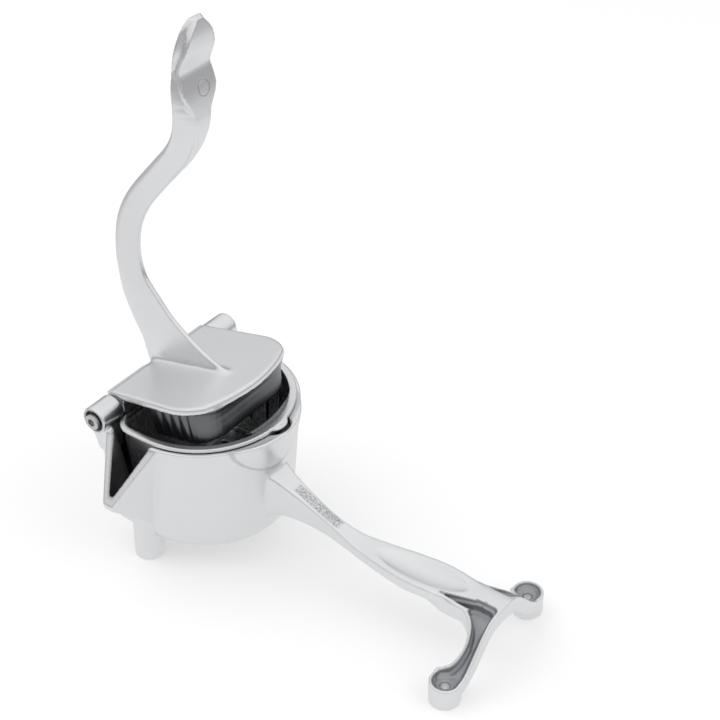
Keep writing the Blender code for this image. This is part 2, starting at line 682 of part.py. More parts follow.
def make_blade():
    """Blade from its long foot on the plate up to the flared grip."""
    across_y = Vector((0, 1, 0))
    rings = []
    for back, front in BLADE_FOOT:
        start = Vector((back[0] * MM, 0, back[1] * MM))
        end = Vector((front[0] * MM, 0, front[1] * MM))
        reach = (end - start) / 2
        ring = rounded_section(
            (start + end) / 2, reach.normalized(), across_y, reach.length, BLADE_HALF_THICKNESS * MM, 16, 0.5
        )
        rings.append(ring)
    centres = [Vector((x * MM, 0, z * MM)) for x, z, _, _ in BLADE_SECTIONS]
    for i, (_, _, depth, width) in enumerate(BLADE_SECTIONS):
        before = centres[max(i - 1, 0)]
        after = centres[min(i + 1, len(centres) - 1)]
        direction = (after - before).normalized()
        along = Vector((direction.z, 0, -direction.x))
        power = 0.5 if depth > width else 0.7
        rings.append(rounded_section(centres[i], along, across_y, depth * MM, width * MM, 16, power))
    return loft("blade", rings)


def make_screw(side, material):
    """Socket-head shoulder screw that passes through an ear into the knuckle."""
    seat = EAR_FACE - HEAD_RECESS_DEPTH + CLEARANCE
    head_end = seat + SCREW_HEAD_HEIGHT
    tip = EAR_FACE - EAR_LENGTH - SIDE_PLAY - KNUCKLE_BORE_DEPTH + 2 * MM
    name = "near_hinge_screw" if side < 0 else "far_hinge_screw"
    rings = []
    stations = (
        (tip, SCREW_RADIUS - 0.6 * MM),
        (tip + 0.6 * MM, SCREW_RADIUS),
        (seat, SCREW_RADIUS),
        (seat + 0.01 * MM, SCREW_HEAD_RADIUS),
        (head_end - 0.5 * MM, SCREW_HEAD_RADIUS),
        (head_end, SCREW_HEAD_RADIUS - 0.5 * MM),
    )
    for y, radius in stations:
        turns = [2 * math.pi * (i + 0.5) / 20 for i in range(20)]
        rings.append([(radius * math.cos(turn), side * y, radius * math.sin(turn)) for turn in turns])
    screw = loft(name, rings, material)
    socket_floor = side * (head_end - SCREW_SOCKET_DEPTH)
    socket = rod_along_y(f"{name}_socket", 0, 0, SCREW_SOCKET, socket_floor, side * (head_end + 2 * MM), 6)
    cut(screw, socket)
    screw.location = (HINGE_X, 0, HINGE_Z)
    socket.parent = screw
    return screw


def make_washer(side, material):
    """Thrust washer between an ear and the knuckle."""
    name = "near_thrust_washer" if side < 0 else "far_thrust_washer"
    ear = EAR_FACE - EAR_LENGTH
    start = ear - CLEARANCE
    end = ear - SIDE_PLAY
    washer = rod_along_y(name, 0, 0, WASHER_RADIUS, side * end, side * start, 24, material)
    ends = (side * (end - 2 * MM), side * (start + 2 * MM))
    bore = rod_along_y(f"{name}_bore", 0, 0, SCREW_RADIUS + CLEARANCE, *ends, 20)
    cut(washer, bore)
    washer.location = (HINGE_X, 0, HINGE_Z)
    bore.parent = washer
    return washer


def stand_on_centre():
    """Moves the whole object so that its box stands on the origin with its bottom centre."""
    bpy.context.view_layer.update()
    graph = bpy.context.evaluated_depsgraph_get()
    corners = []
    for item in bpy.context.scene.objects:
        if item.type == "MESH" and not item.hide_render:
            evaluated = item.evaluated_get(graph)
            corners += [item.matrix_world @ vertex.co for vertex in evaluated.data.vertices]
    low = Vector([min(corner[axis] for corner in corners) for axis in range(3)])
    high = Vector([max(corner[axis] for corner in corners) for axis in range(3)])
    shift = Vector((-(low.x + high.x) / 2, -(low.y + high.y) / 2, -low.z))
    for item in bpy.context.scene.objects:
        if item.parent is None:
            item.location += shift
    bpy.context.view_layer.update()
    hinge = Vector((HINGE_X, 0, HINGE_Z)) + shift
    print("hinge axis at", [round(value, 6) for value in hinge])
    print("cup centre moved by", [round(value, 6) for value in shift])


def main():
    clear_scene()
    polished = make_material("polished_aluminium", (0.83, 0.84, 0.85), 0.16)
    satin = make_material("satin_aluminium", (0.78, 0.79, 0.80), 0.28)
    steel = make_material("screw_steel", (0.62, 0.62, 0.63), 0.25)
    washer_steel = make_material("washer_steel", (0.55, 0.55, 0.56), 0.35)
    make_base(polished)
    make_strainer(satin)
    make_lever(polished)
    for side in (-1, 1):
        make_screw(side, steel)
        make_washer(side, washer_steel)
    stand_on_centre()


main()
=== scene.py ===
# %% [markdown]
# # A cast-aluminium hand press for fruit
# The press is nearly all casting. A cup with a pouring beak, two hinge ears, a handle and a T-shaped foot are
# one piece of polished aluminium. A plate, a press block, a thin blade and a grip are the other. A slotted
# strainer hangs in the cup, and two socket screws are the hinge. This lesson loads the engineering model,
# builds a finer visible shape over each of its parts, and gives each finish its own procedural material.

# %% Load the frame
import json
import math

import bpy
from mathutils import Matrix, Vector
from mathutils.bvhtree import BVHTree

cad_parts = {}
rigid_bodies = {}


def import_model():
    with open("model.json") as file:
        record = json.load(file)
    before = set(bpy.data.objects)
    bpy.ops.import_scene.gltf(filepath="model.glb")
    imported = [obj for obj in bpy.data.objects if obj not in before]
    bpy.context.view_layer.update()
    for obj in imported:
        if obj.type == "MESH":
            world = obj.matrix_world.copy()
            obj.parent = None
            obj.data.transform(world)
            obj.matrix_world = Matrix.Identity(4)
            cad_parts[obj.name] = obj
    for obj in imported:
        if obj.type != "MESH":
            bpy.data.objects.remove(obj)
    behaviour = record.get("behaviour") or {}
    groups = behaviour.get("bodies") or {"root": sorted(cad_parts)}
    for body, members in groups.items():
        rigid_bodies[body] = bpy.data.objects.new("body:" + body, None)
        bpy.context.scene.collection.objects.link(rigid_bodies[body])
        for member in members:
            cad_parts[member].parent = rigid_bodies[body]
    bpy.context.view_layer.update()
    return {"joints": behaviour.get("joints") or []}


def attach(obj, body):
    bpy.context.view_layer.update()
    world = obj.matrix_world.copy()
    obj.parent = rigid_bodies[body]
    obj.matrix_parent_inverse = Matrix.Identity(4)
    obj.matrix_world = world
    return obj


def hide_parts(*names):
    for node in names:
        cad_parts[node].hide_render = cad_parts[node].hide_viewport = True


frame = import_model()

# %% [markdown]
# Every place on this press is easiest to say from two points: the hinge, which the frame gives, and the
# middle of the round cup, 31 mm in front of it and on the table. The lesson writes its sizes in millimetres
# from the cup's middle, with X towards the T-foot and Y along the hinge, and one function turns them into
# metres.

# %% The two points that everything is measured from
MM = 0.001
HINGE = Vector(frame["joints"][0]["pos_m"])
HINGE_X, HINGE_Z = -31.0, 94.5
CUP = Vector((HINGE.x - HINGE_X * MM, HINGE.y, 0.0))


def at(x, y, z):
    """A place in metres from millimetres out of the cup's middle."""
    return Vector((CUP.x + x * MM, CUP.y + y * MM, z * MM))


def local(place):
    """Millimetres from the cup's middle, out of a place in metres."""
    return (place - CUP) / MM


print("cup's middle:", [round(value, 4) for value in CUP], "hinge height:", round(HINGE.z, 4))

# %% [markdown]
# Blender's operators work on whatever is selected. After loading, the engineering parts are all selected, so
# each step first selects only its own piece. Faces, edges and corners are picked by a rule on their place and
# direction, which is the scripted form of clicking on them.

# %% Selecting in code
def nothing():
    """Leaves edit mode and deselects everything, as before any new piece."""
    if bpy.context.object and bpy.context.object.mode != "OBJECT":
        bpy.ops.object.mode_set(mode="OBJECT")
    bpy.ops.object.select_all(action="DESELECT")


def alone(piece):
    """Selects this piece and nothing else, in object mode."""
    nothing()
    piece.select_set(True)
    bpy.context.view_layer.objects.active = piece


def settle(name):
    """Names the new piece and puts its place, turn and size into its mesh."""
    piece = bpy.context.object
    alone(piece)
    piece.name = name
    bpy.ops.object.transform_apply(location=True, rotation=True, scale=True)
    return piece


def pick(piece, kind, rule):
    """Selects the faces, edges or corners of a piece that fit a rule, and leaves it in edit mode."""
    alone(piece)
    bpy.ops.object.mode_set(mode="EDIT")
    bpy.ops.mesh.select_mode(type=kind)
    bpy.ops.mesh.select_all(action="DESELECT")
    bpy.ops.object.mode_set(mode="OBJECT")
    mesh = piece.data
    if kind == "FACE":
        for face in mesh.polygons:
            face.select = rule(local(face.center), face.normal)
    elif kind == "EDGE":
        for edge in mesh.edges:
            first, last = (local(mesh.vertices[index].co) for index in edge.vertices)
            edge.select = rule((first + last) / 2, (last - first).normalized())
    else:
        for corner in mesh.vertices:
            corner.select = rule(local(corner.co), corner.normal)
    bpy.ops.object.mode_set(mode="EDIT")


def all_of(piece):
    pick(piece, "VERT", lambda place, normal: True)


def face_out(piece):
    all_of(piece)
    bpy.ops.mesh.normals_make_consistent(inside=False)
    alone(piece)
    return piece


# %% [markdown]
# Modifiers finish a shape: a Boolean joins or cuts solids, and Remesh rebuilds a skin over them. Each is
# added and applied at once, so that a piece is always plain mesh before the next step.

# %% Modifiers, joining and cutting
def change(piece, kind, **settings):
    """Adds one modifier with its settings and applies it."""
    alone(piece)
    bpy.ops.object.modifier_add(type=kind)
    modifier = piece.modifiers[-1]
    for name, value in settings.items():
        setattr(modifier, name, value)
    bpy.ops.object.modifier_apply(modifier=modifier.name)


def combine(piece, operation, others):
    for other in others:
        change(piece, "BOOLEAN", operation=operation, solver="EXACT", object=other)
        bpy.data.objects.remove(other, do_unlink=True)
    return piece


def weld(piece, *others):
    return combine(piece, "UNION", others)


def carve(piece, *others):
    return combine(piece, "DIFFERENCE", others)


def trim(piece, *others):
    return combine(piece, "INTERSECT", others)


def flipped(piece):
    """Moves a shape to the other side of the press, with its faces turned out again."""
    all_of(piece)
    bpy.ops.transform.resize(value=(1, -1, 1), center_override=tuple(CUP))
    return face_out(piece)


# %% [markdown]
# Four simple starts make nearly all of the castings: a box, a round bar, a wedge, which is a box with moved
# corners, and a bowl. The bowl is a box whose two front edges are rounded until they meet, because the real
# cup has a round front and a flat back. Its foot is drawn in a little, as every casting's is, so that it
# leaves its mould.

# %% Box, bar, wedge and bowl
def block(name, low, high):
    size = [top - bottom for bottom, top in zip(low, high)]
    middle = [(top + bottom) / 2 for bottom, top in zip(low, high)]
    nothing()
    bpy.ops.mesh.primitive_cube_add(size=MM, location=at(*middle), scale=size)
    return settle(name)


def bar(name, x, y, z, radius, length, axis="Z", sides=64, foot_radius=None):
    """A round bar about its middle, tapered if its foot has a radius of its own."""
    turns = {"X": (0, math.pi / 2, 0), "Y": (math.pi / 2, 0, 0), "Z": (0, 0, 0)}
    foot = radius if foot_radius is None else foot_radius
    nothing()
    bpy.ops.mesh.primitive_cone_add(
        vertices=sides,
        radius1=foot * MM,
        radius2=radius * MM,
        depth=length * MM,
        location=at(x, y, z),
        rotation=turns[axis],
    )
    return settle(name)


def wedge(name, corners):
    """A cube whose eight corners are moved. Each is named by its signs in X, Y and Z."""
    piece = block(name, (-1, -1, -1), (1, 1, 1))
    for signs, place in corners.items():
        start = Vector(signs)
        pick(piece, "VERT", lambda corner, normal, start=start: (corner - start).length < 0.01)
        bpy.ops.transform.translate(value=(Vector(place) - start) * MM)
        # A moved corner could land where another still waits, so each goes out of the way first.
        bpy.ops.transform.translate(value=(0, 0, 10))
    pick(piece, "VERT", lambda corner, normal: True)
    bpy.ops.transform.translate(value=(0, 0, -10))
    return face_out(piece)


def bowl(name, radius, back, corner, low, high, draft, fillet, rim=None):
    """A drafted solid with a round front and a flat back. Its radius is measured at the rim's height."""
    slope = math.tan(math.radians(draft))
    rim = high if rim is None else rim
    top_radius = radius + (high - rim) * slope
    ratio = (radius - (rim - low) * slope) / top_radius
    piece = block(name, (-back, -top_radius, low), (top_radius, top_radius, high))
    pick(piece, "EDGE", lambda place, way: abs(way.z) > 0.9 and place.x > 0)
    bpy.ops.mesh.bevel(offset=(top_radius - 0.05) * MM, segments=44, affect="EDGES", clamp_overlap=False)
    pick(piece, "EDGE", lambda place, way: abs(way.z) > 0.9 and place.x < -back + 0.01)
    bpy.ops.mesh.bevel(offset=corner * MM, segments=8, affect="EDGES", clamp_overlap=False)
    pick(piece, "FACE", lambda place, normal: normal.z < -0.9)
    bpy.ops.transform.resize(value=(ratio, ratio, 1), center_override=tuple(at(0, 0, low)))
    pick(piece, "EDGE", lambda place, way: place.z < low + 0.01)
    bpy.ops.mesh.bevel(offset=fillet * MM, segments=6, affect="EDGES", clamp_overlap=False)
    alone(piece)
    return piece


# %% [markdown]
# The handle, the blade and the arched T are bars whose section changes as they go. Such a bar is grown by
# extrusion: a rounded square is extruded to the next station, resized there and turned to face along the bar.
# The stations that a maker would mark are few, so a smooth curve is read through them first.

# %% A bar grown through stations
def between(rows, steps):
    """More stations on a smooth curve through the given ones."""
    made = []
    for i in range(len(rows) - 1):
        before, start, end, after = (rows[min(max(k, 0), len(rows) - 1)] for k in range(i - 1, i + 3))
        for step in range(steps):
            t = step / steps
            row = []
            for p, a, b, q in zip(before, start, end, after):
                bend = (2 * p - 5 * a + 4 * b - q) * t**2 + (3 * a - p - 3 * b + q) * t**3
                row.append(0.5 * (2 * a + (b - p) * t + bend))
            made.append(row)
    return made + [list(rows[-1])]


def grow(name, stations, rounding=(0.5, 0.5), front=1.0, segments=5):
    """A bar in the plane of X and Z. A station is x, z, turn, half depth and half width."""
    x, z, turn, depth, width = stations[0]
    nothing()
    bpy.ops.mesh.primitive_plane_add(size=2 * MM, location=at(x, 0, z))
    piece = settle(name)
    for side, share in zip((1, -1), rounding):
        pick(piece, "VERT", lambda place, normal, side=side: side * (place.x - x) > 0.999)
        bpy.ops.mesh.bevel(offset=share * MM, segments=segments, affect="VERTICES")
    pick(piece, "VERT", lambda place, normal: place.x > x)
    bpy.ops.transform.resize(value=(1, front, 1), center_override=tuple(at(x, 0, z)))
    all_of(piece)
    size, angle, place = (1.0, 1.0), 0.0, at(x, 0, z)
    for index, (x, z, turn, depth, width) in enumerate(stations):
        if index:
            bpy.ops.mesh.extrude_region_move()
            bpy.ops.transform.rotate(value=-angle, orient_axis="Y", center_override=tuple(place))
        ratio = (depth / size[0], width / size[1], 1)
        bpy.ops.transform.resize(value=ratio, center_override=tuple(place))
        size, angle = (depth, width), math.radians(turn)
        bpy.ops.transform.rotate(value=angle, orient_axis="Y", center_override=tuple(place))
        bpy.ops.transform.translate(value=at(x, 0, z) - place)
        place = at(x, 0, z)
    return face_out(piece)


# %% [markdown]
# A casting has no sharp corner anywhere: every edge is rounded and every inner corner is filled. Bevelling
# a few hundred edges one by one is fragile, so the joined solid gets a new skin of small even faces
# instead, and a little smoothing rounds it all at once. Where it would have too many faces, they are
# thinned out again.

# %% The skin of a casting
def surface_of(piece):
    """A copy of the surface that can later be asked how far away it is."""
    corners = [corner.co.copy() for corner in piece.data.vertices]
    return BVHTree.FromPolygons(corners, [tuple(face.vertices) for face in piece.data.polygons])


def near(surfaces, place, reach):
    """1 on one of the surfaces, falling to 0 at this many millimetres from it."""
    gap = min((surface.find_nearest(place, 2 * reach * MM)[3] or 1.0) for surface in surfaces) / MM
    return max(0.0, min(1.0, 1.6 - 1.6 * gap / reach))


def fill_corner(piece, first, second, reach, rounds):
    """Rounds the inner corner where two shapes meet, as a wax fillet on a pattern does."""
    group = piece.vertex_groups.new(name="fillet")
    for corner in piece.data.vertices:
        weight = near(first, corner.co, reach)
        weight = min(weight, near(second, corner.co, reach)) if weight else 0.0
        if weight:
            group.add([corner.index], weight, "REPLACE")
    change(piece, "SMOOTH", factor=0.5, iterations=rounds, vertex_group="fillet")
    piece.vertex_groups.clear()


def count_triangles(piece):
    return sum(len(face.vertices) - 2 for face in piece.data.polygons)


def cast(piece, face_size, rounds, fillets=(), most=190000):
    """Gives a joined solid its cast skin: new small faces, soft edges and the wanted fillets."""
    change(piece, "REMESH", mode="VOXEL", voxel_size=face_size * MM, use_smooth_shade=True)
    change(piece, "SMOOTH", factor=0.5, iterations=rounds)
    for first, second, reach, more in fillets:
        fill_corner(piece, first, second, reach, more)
    triangles = count_triangles(piece)
    if triangles > most:
        change(piece, "DECIMATE", decimate_type="COLLAPSE", ratio=most / triangles)
    alone(piece)
    bpy.ops.object.shade_smooth()
    print(piece.name, triangles, "triangles, kept", count_triangles(piece))


def paint(piece, name, rule):
    """Stores a number on each corner of the mesh, for a material to read."""
    layer = piece.data.attributes.new(name, "FLOAT", "POINT")
    layer.data.foreach_set("value", [rule(corner.co, corner.normal) for corner in piece.data.vertices])


# %% [markdown]
# ## The body casting
# The cup is the bowl, and the beak is a wedge that widens upwards like a V. The beak's hollow is the same
# wedge moved in by the wall. Its sides have to stay parallel to the outer ones above the rim too, so its
# upper corners are carried on along their own edges.

# %% Cup and beak
CUP_RADIUS, CUP_BACK, CUP_RIM, CUP_WALL, CUP_DRAFT = 55.5, 39.0, 90.0, 3.5, 4.5
CUP_FLOOR, CUP_CORNER, CUP_FILLET = 16.0, 12.0, 7.0
BEAK_MIDDLE = -7.5


def beak(name, wall, above, inwards):
    """The beak's wedge, moved in by wall, and carried on upwards and into the cup."""
    corners = {}
    for side in (-1, 1):
        foot_back_x = BEAK_MIDDLE + side * max(9.0 - wall, 2.0)
        foot_tip_x = BEAK_MIDDLE + side * max(2.6 - wall, 0.7)
        top_back_x = BEAK_MIDDLE + side * (19.0 - wall)
        top_tip_x = BEAK_MIDDLE + side * max(3.4 - wall, 0.9)
        foot_back = Vector((foot_back_x, inwards - 48.0, 27.0 + 2.2 * wall - 0.9 * inwards))
        foot_tip = Vector((foot_tip_x, -77.2 + 1.3 * wall, 53.6 + 1.6 * wall))
        top_back = Vector((top_back_x, inwards - 53.9, CUP_RIM))
        top_tip = Vector((top_tip_x, -78.0 + 1.3 * wall, 57.0 + 0.8 * wall))
        slope = (top_back - foot_back) / (top_back.z - foot_back.z)
        corners[(side, 1, -1)] = foot_back
        corners[(side, -1, -1)] = foot_tip
        corners[(side, 1, 1)] = top_back + slope * above
        corners[(side, -1, 1)] = top_tip + slope * above
    return wedge(name, corners)


body = bowl("body_casting", CUP_RADIUS, CUP_BACK, CUP_CORNER, CUP_FLOOR, CUP_RIM, CUP_DRAFT, CUP_FILLET)
cup_skin = surface_of(body)
print("cup:", len(body.data.polygons), "faces")

# %% [markdown]
# In front, a boss swells out of the wall below the rim, where a finger reaches under the strainer's tab. It
# starts as a thin disc whose lower face is extruded down in steps. Each step is smaller and further forward,
# so the boss runs out into the root of the handle.

# %% Finger boss
# A station is its middle in X, its height and its radius.
BOSS = (
    (17.2, 89.0, 42.4),
    (18.2, 84.0, 40.9),
    (20.2, 78.0, 37.8),
    (22.4, 73.0, 34.2),
    (24.0, 69.0, 31.0),
    (28.0, 65.5, 25.4),
    (34.0, 62.0, 18.0),
)
boss = bar("boss", BOSS[0][0], 0, BOSS[0][1] + 0.5, BOSS[0][2], 1.0, sides=128)
pick(boss, "FACE", lambda place, normal: normal.z < -0.9)
for (x, z, radius), (next_x, next_z, next_radius) in zip(BOSS, BOSS[1:]):
    step = Vector((next_x - x, 0, next_z - z)) * MM
    bpy.ops.mesh.extrude_region_move(TRANSFORM_OT_translate={"value": tuple(step)})
    ratio = next_radius / radius
    bpy.ops.transform.resize(value=(ratio, ratio, 1), center_override=tuple(at(next_x, 0, next_z)))
face_out(boss)
boss_skin = surface_of(boss)
weld(body, beak("beak", 0.0, 0.0, 0.0), boss)
print("cup, beak and boss:", len(body.data.polygons), "faces")

# %% [markdown]
# The lower handle leaves the cup as a deep root, thins to a waist, and swells again under the thumb. It is
# one grown bar, whose sections stand across X, so every station is turned by a right angle.

# %% Lower handle
# A station is X, its middle height, half its depth and half its width.
HANDLE = (
    (36.0, 45.0, 21.0, 15.0),
    (48.0, 45.6, 17.6, 11.0),
    (54.0, 45.9, 15.1, 8.6),
    (60.0, 45.3, 12.6, 7.1),
    (68.0, 43.7, 10.2, 5.9),
    (76.0, 41.8, 8.4, 5.1),
    (84.0, 39.7, 6.8, 4.6),
    (92.0, 37.5, 5.6, 4.5),
    (100.0, 35.4, 4.8, 5.0),
    (108.0, 33.9, 4.0, 6.1),
    (115.0, 33.1, 3.8, 7.3),
    (130.0, 32.7, 3.9, 9.9),
    (147.0, 32.9, 4.3, 12.2),
    (163.0, 34.1, 4.1, 12.6),
    (177.0, 34.0, 4.4, 11.3),
    (190.0, 33.6, 4.0, 8.6),
)
rows = [(x, z, 90.0, deep, wide) for x, z, deep, wide in HANDLE]
handle = grow("handle", between(rows, 5), (0.2, 0.45))
handle_skin = surface_of(handle)
print("handle:", len(handle.data.polygons), "faces")
weld(body, handle)

# %% [markdown]
# ## The T-shaped foot
# From above, the T is a round-ended bar and a stem, with a round bite out of each inner side. From its end it
# is an arch that comes down from the stem to the two feet. So the plan is made as a tall prism first, and a
# slab that follows the arch trims it. The channel in each arm is made in the same way, a wall thinner.

# %% Arch of the T
T_MIDDLE, T_FOOT_Y, T_FOOT_RADIUS = 197.0, 42.0, 9.0
BITE_X, BITE_Y, BITE_RADIUS = 184.3, 24.8, 12.7


def slab(name, stations):
    """A wide slab that follows the arch. A station is a distance across, an underside and a top."""
    rows = [(y, (low + top) / 2, 90.0, (top - low) / 2, 40.0) for y, low, top in stations]
    made = grow(name, between(rows, 4), (0.01, 0.01), segments=1)
    all_of(made)
    bpy.ops.transform.rotate(value=-math.pi / 2, orient_axis="Z", center_override=tuple(at(0, 0, 0)))
    bpy.ops.transform.translate(value=(T_MIDDLE * MM, 0, 0))
    alone(made)
    return made


def arch(name, half):
    """The slab over both arms, from the stations of one of them."""
    return slab(name, [(-y, low, top) for y, low, top in reversed(half)] + list(half[1:]))


# A station is its distance from the middle of the press, its underside and its top.
ARCH = (
    (0, 28.6, 38.2),
    (10, 27.3, 37.4),
    (18, 20.5, 32.5),
    (26, 12.6, 24.5),
    (34, 7.4, 16.6),
    (41, 6.0, 14.0),
    (60, 6.0, 14.0),
)
arch_slab = arch("arch", ARCH)
print("arch:", len(arch_slab.data.polygons), "faces")

# %% [markdown]
# The plan is a bar with round ends and a stem that widens out of the handle through a short shoulder. The
# shoulder is a wedge that starts inside the handle, so no step shows where it comes out.

# %% Plan of the T
t_foot = block("t_foot", (T_MIDDLE - 9, -T_FOOT_Y, 0), (T_MIDDLE + 9, T_FOOT_Y, 50))
for side in (-1, 1):
    weld(t_foot, bar("end", T_MIDDLE, side * T_FOOT_Y, 25, T_FOOT_RADIUS, 50, sides=96))
STEM_HALF = 12.0
stem = block("stem", (T_MIDDLE - 24, -STEM_HALF, 0), (T_MIDDLE + 8.9, STEM_HALF, 50))
weld(t_foot, stem)
# Each end has its X, half its width, its underside and its top.
SHOULDER = {-1: (T_MIDDLE - 52, 7.0, 31.5, 36.0), 1: (T_MIDDLE - 23, STEM_HALF, 26.5, 37.5)}
shoulder = {}
for end, (x, half, low, top) in SHOULDER.items():
    for side in (-1, 1):
        shoulder[(end, side, -1)] = (x, side * half, low)
        shoulder[(end, side, 1)] = (x, side * half, top)
weld(t_foot, wedge("shoulder", shoulder))
for side in (-1, 1):
    carve(t_foot, bar("bite", BITE_X, side * BITE_Y, 25, BITE_RADIUS, 60, sides=96))
trim(t_foot, arch_slab)
for side in (-1, 1):
    weld(t_foot, bar("pad", T_MIDDLE, side * T_FOOT_Y, 4.5, T_FOOT_RADIUS - 0.05, 9.0, sides=96))
print("T-foot:", len(t_foot.data.polygons), "faces")
weld(body, t_foot)

# %% [markdown]
# The dish for the thumb is a shallow bite out of the handle's widest stretch. A stretched sphere that only
# dips into the top leaves the long oval outline that a thumb rest has.

# %% Thumb dish
DISH_MIDDLE, DISH_HALVES, DISH_TURN = (149.5, 0.4, 42.4), (38.5, 11.4, 8.2), 0.03
nothing()
bpy.ops.mesh.primitive_uv_sphere_add(
    segments=96,
    ring_count=48,
    radius=MM,
    location=at(*DISH_MIDDLE),
    scale=DISH_HALVES,
    rotation=(0, 0, DISH_TURN),
)
carve(body, settle("thumb_dish"))
print("body with its dish:", len(body.data.polygons), "faces")

# %% [markdown]
# The channel starts as a pointed groove beside the stem, opens into a pocket behind the outer wall and
# follows the arm down to a flat seat round the screw hole. It has a wide shallow step, the ledge, and a
# narrower deep floor, so each arm is cut twice. The far arm's cutters are the near arm's, moved to the
# other side.

# %% Cutters for the channels
CHANNEL_TOP = 76
# A row is the distance from the middle of the press and the height of the channel's bottom there.
LEDGE = ((0, 36.0), (9, 35.0), (18, 29.6), (26, 21.4), (34, 13.4), (39, 11.6), (62, 11.6))
FLOOR = ((0, 31.6), (9, 30.4), (18, 25.4), (26, 18.6), (33, 12.2), (38, 10.4), (62, 10.4))
LEDGE_WALL, FLOOR_WALL, GROOVE_WALL = 2.0, 3.4, 3.2


def near_slab(name, bottoms):
    """All that lies above the channel's bottom, on the near side."""
    return slab(name, [(-y, low, CHANNEL_TOP) for y, low in reversed(bottoms)])


def channel(name, wall, floor, inner):
    """The cutter for the near arm: a wall in from the outside, and from this far from the middle outwards."""
    made = block(name, (T_MIDDLE - 6.5, -T_FOOT_Y, 0), (T_MIDDLE + 9 - wall, -inner, 70))
    # Only the corner that turns from the outer wall to the stem is rounded.
    pick(made, "EDGE", lambda place, way: abs(way.z) > 0.9 and place.x > T_MIDDLE and place.y > 1 - T_FOOT_Y)
    bpy.ops.mesh.bevel(offset=3.0 * MM, segments=5, affect="EDGES", clamp_overlap=False)
    carve(made, bar("bite", BITE_X, -BITE_Y, 30, BITE_RADIUS + wall, 90, sides=96))
    weld(made, bar("end", T_MIDDLE, -T_FOOT_Y, 35, T_FOOT_RADIUS - wall, 70, sides=96))
    return trim(made, near_slab(name + "_floor", floor))


def groove(name, wall):
    """The pointed end of the near channel, beside the handle. A thicker wall gives a shorter point."""
    point = T_MIDDLE - 26 + 4 * (wall - 2)
    plan = {
        (-1, -1): (point, -9.4),
        (-1, 1): (point, -9.0),
        (1, 1): (T_MIDDLE - 1.0, -wall + 0.4),
        (1, -1): (T_MIDDLE - 7.4, wall - STEM_HALF),
    }
    return wedge(name, {(*ends, up): (*plan[ends], 35 * up + 35) for ends in plan for up in (-1, 1)})


channels = [
    channel("ledge", LEDGE_WALL, LEDGE, 2.2),
    channel("deep_channel", FLOOR_WALL, FLOOR, 3.8),
    trim(groove("groove", LEDGE_WALL), near_slab("groove_ledge", LEDGE)),
    trim(groove("deep_groove", GROOVE_WALL), near_slab("deep_floor", FLOOR)),
    flipped(channel("arm", LEDGE_WALL, LEDGE, 11.0)),
    flipped(channel("deep", FLOOR_WALL, FLOOR, 11.0)),
]
cast_recesses = [surface_of(piece) for piece in channels]
print("channel cutters:", len(channels))

# %% Channels and screw holes in the T
SCREW_HOLE = 2.6
carve(body, *channels)
for side in (-1, 1):
    carve(body, bar("screw_hole", T_MIDDLE, side * T_FOOT_Y, 10, SCREW_HOLE, 40, sides=48))
print("body so far:", len(body.data.polygons), "faces")

# %% [markdown]
# Two round feet stand under the cup, a little tapered to leave the mould. Then the cup is hollowed. The back
# wall is lower between the ears, where the lid's knuckle turns.

# %% Feet and hollow
FOOT_X, FOOT_Y, FOOT_TOP_RADIUS, FOOT_RADIUS = -9, 45.6, 8.6, 9.0
FOOT_HEIGHTS = {-1: 40.0, 1: 27.0}
BEAK_WALL = 2.7
for side, height in FOOT_HEIGHTS.items():
    middle = (FOOT_X, side * FOOT_Y, height / 2)
    weld(body, bar("foot", *middle, FOOT_TOP_RADIUS, height, sides=64, foot_radius=FOOT_RADIUS))
hollow = bowl(
    "hollow", CUP_RADIUS - CUP_WALL, CUP_BACK - CUP_WALL, 9.0, 19.5, 112.0, CUP_DRAFT, 5.0, rim=CUP_RIM
)
spout = beak("spout", BEAK_WALL, 26.0, 9.0)
# The inside of the cup and the beak, and later the screw recesses and the tab pocket, are painted darker as
# shade.
painted_shade_places = [surface_of(hollow), surface_of(spout)]
carve(body, hollow, spout, block("back_drop", (-60, -42.7, 84), (-16, 42.7, 120)))
print("hollowed body:", len(body.data.polygons), "faces")

# %% [markdown]
# Each ear is a barrel with a bore, a recess for the screw's head, and a gusset that carries it on the cup's
# wall. The gusset is a wedge that thins towards its foot. The ears come after the hollow, which would cut
# them.

# %% Hinge ears
EAR_FACE, EAR_LENGTH, EAR_RADIUS = 59.0, 16.5, 8.2
BORE_RADIUS, RECESS_RADIUS = 3.3, 6.2


def make_ear(side):
    """The barrel with its outer edge bevelled, standing on its gusset."""
    ear = bar("ear", HINGE_X, side * (EAR_FACE - EAR_LENGTH / 2), HINGE_Z, EAR_RADIUS, EAR_LENGTH, "Y", 72)
    pick(ear, "EDGE", lambda place, way: side * place.y > EAR_FACE - 0.01)
    bpy.ops.mesh.bevel(offset=1.3 * MM, segments=4, affect="EDGES", clamp_overlap=False)
    inner = EAR_FACE - EAR_LENGTH + 0.1
    corners = {}
    for across in (-1, 1):
        corners[(across, -1, 1)] = (HINGE_X + across * 7.6, side * inner, HINGE_Z)
        corners[(across, 1, 1)] = (HINGE_X + across * 7.6, side * (EAR_FACE - 3.0), HINGE_Z)
        corners[(across, -1, -1)] = (HINGE_X + across * 6.0, side * inner, 72.0)
        corners[(across, 1, -1)] = (HINGE_X + across * 5.2, side * (CUP_RADIUS - 4.0), 68.0)
    return ear, wedge("gusset", corners)


for side in (-1, 1):
    ear, gusset = make_ear(side)
    weld(body, gusset, ear)
    bore = bar("bore", HINGE_X, side * EAR_FACE, HINGE_Z, BORE_RADIUS, 50, "Y", 48)
    recess = bar("recess", HINGE_X, side * (EAR_FACE + 0.8), HINGE_Z, RECESS_RADIUS, 10, "Y", 72)
    painted_shade_places.append(surface_of(recess))
    carve(body, bore, recess)
print("body with ears:", len(body.data.polygons), "faces")
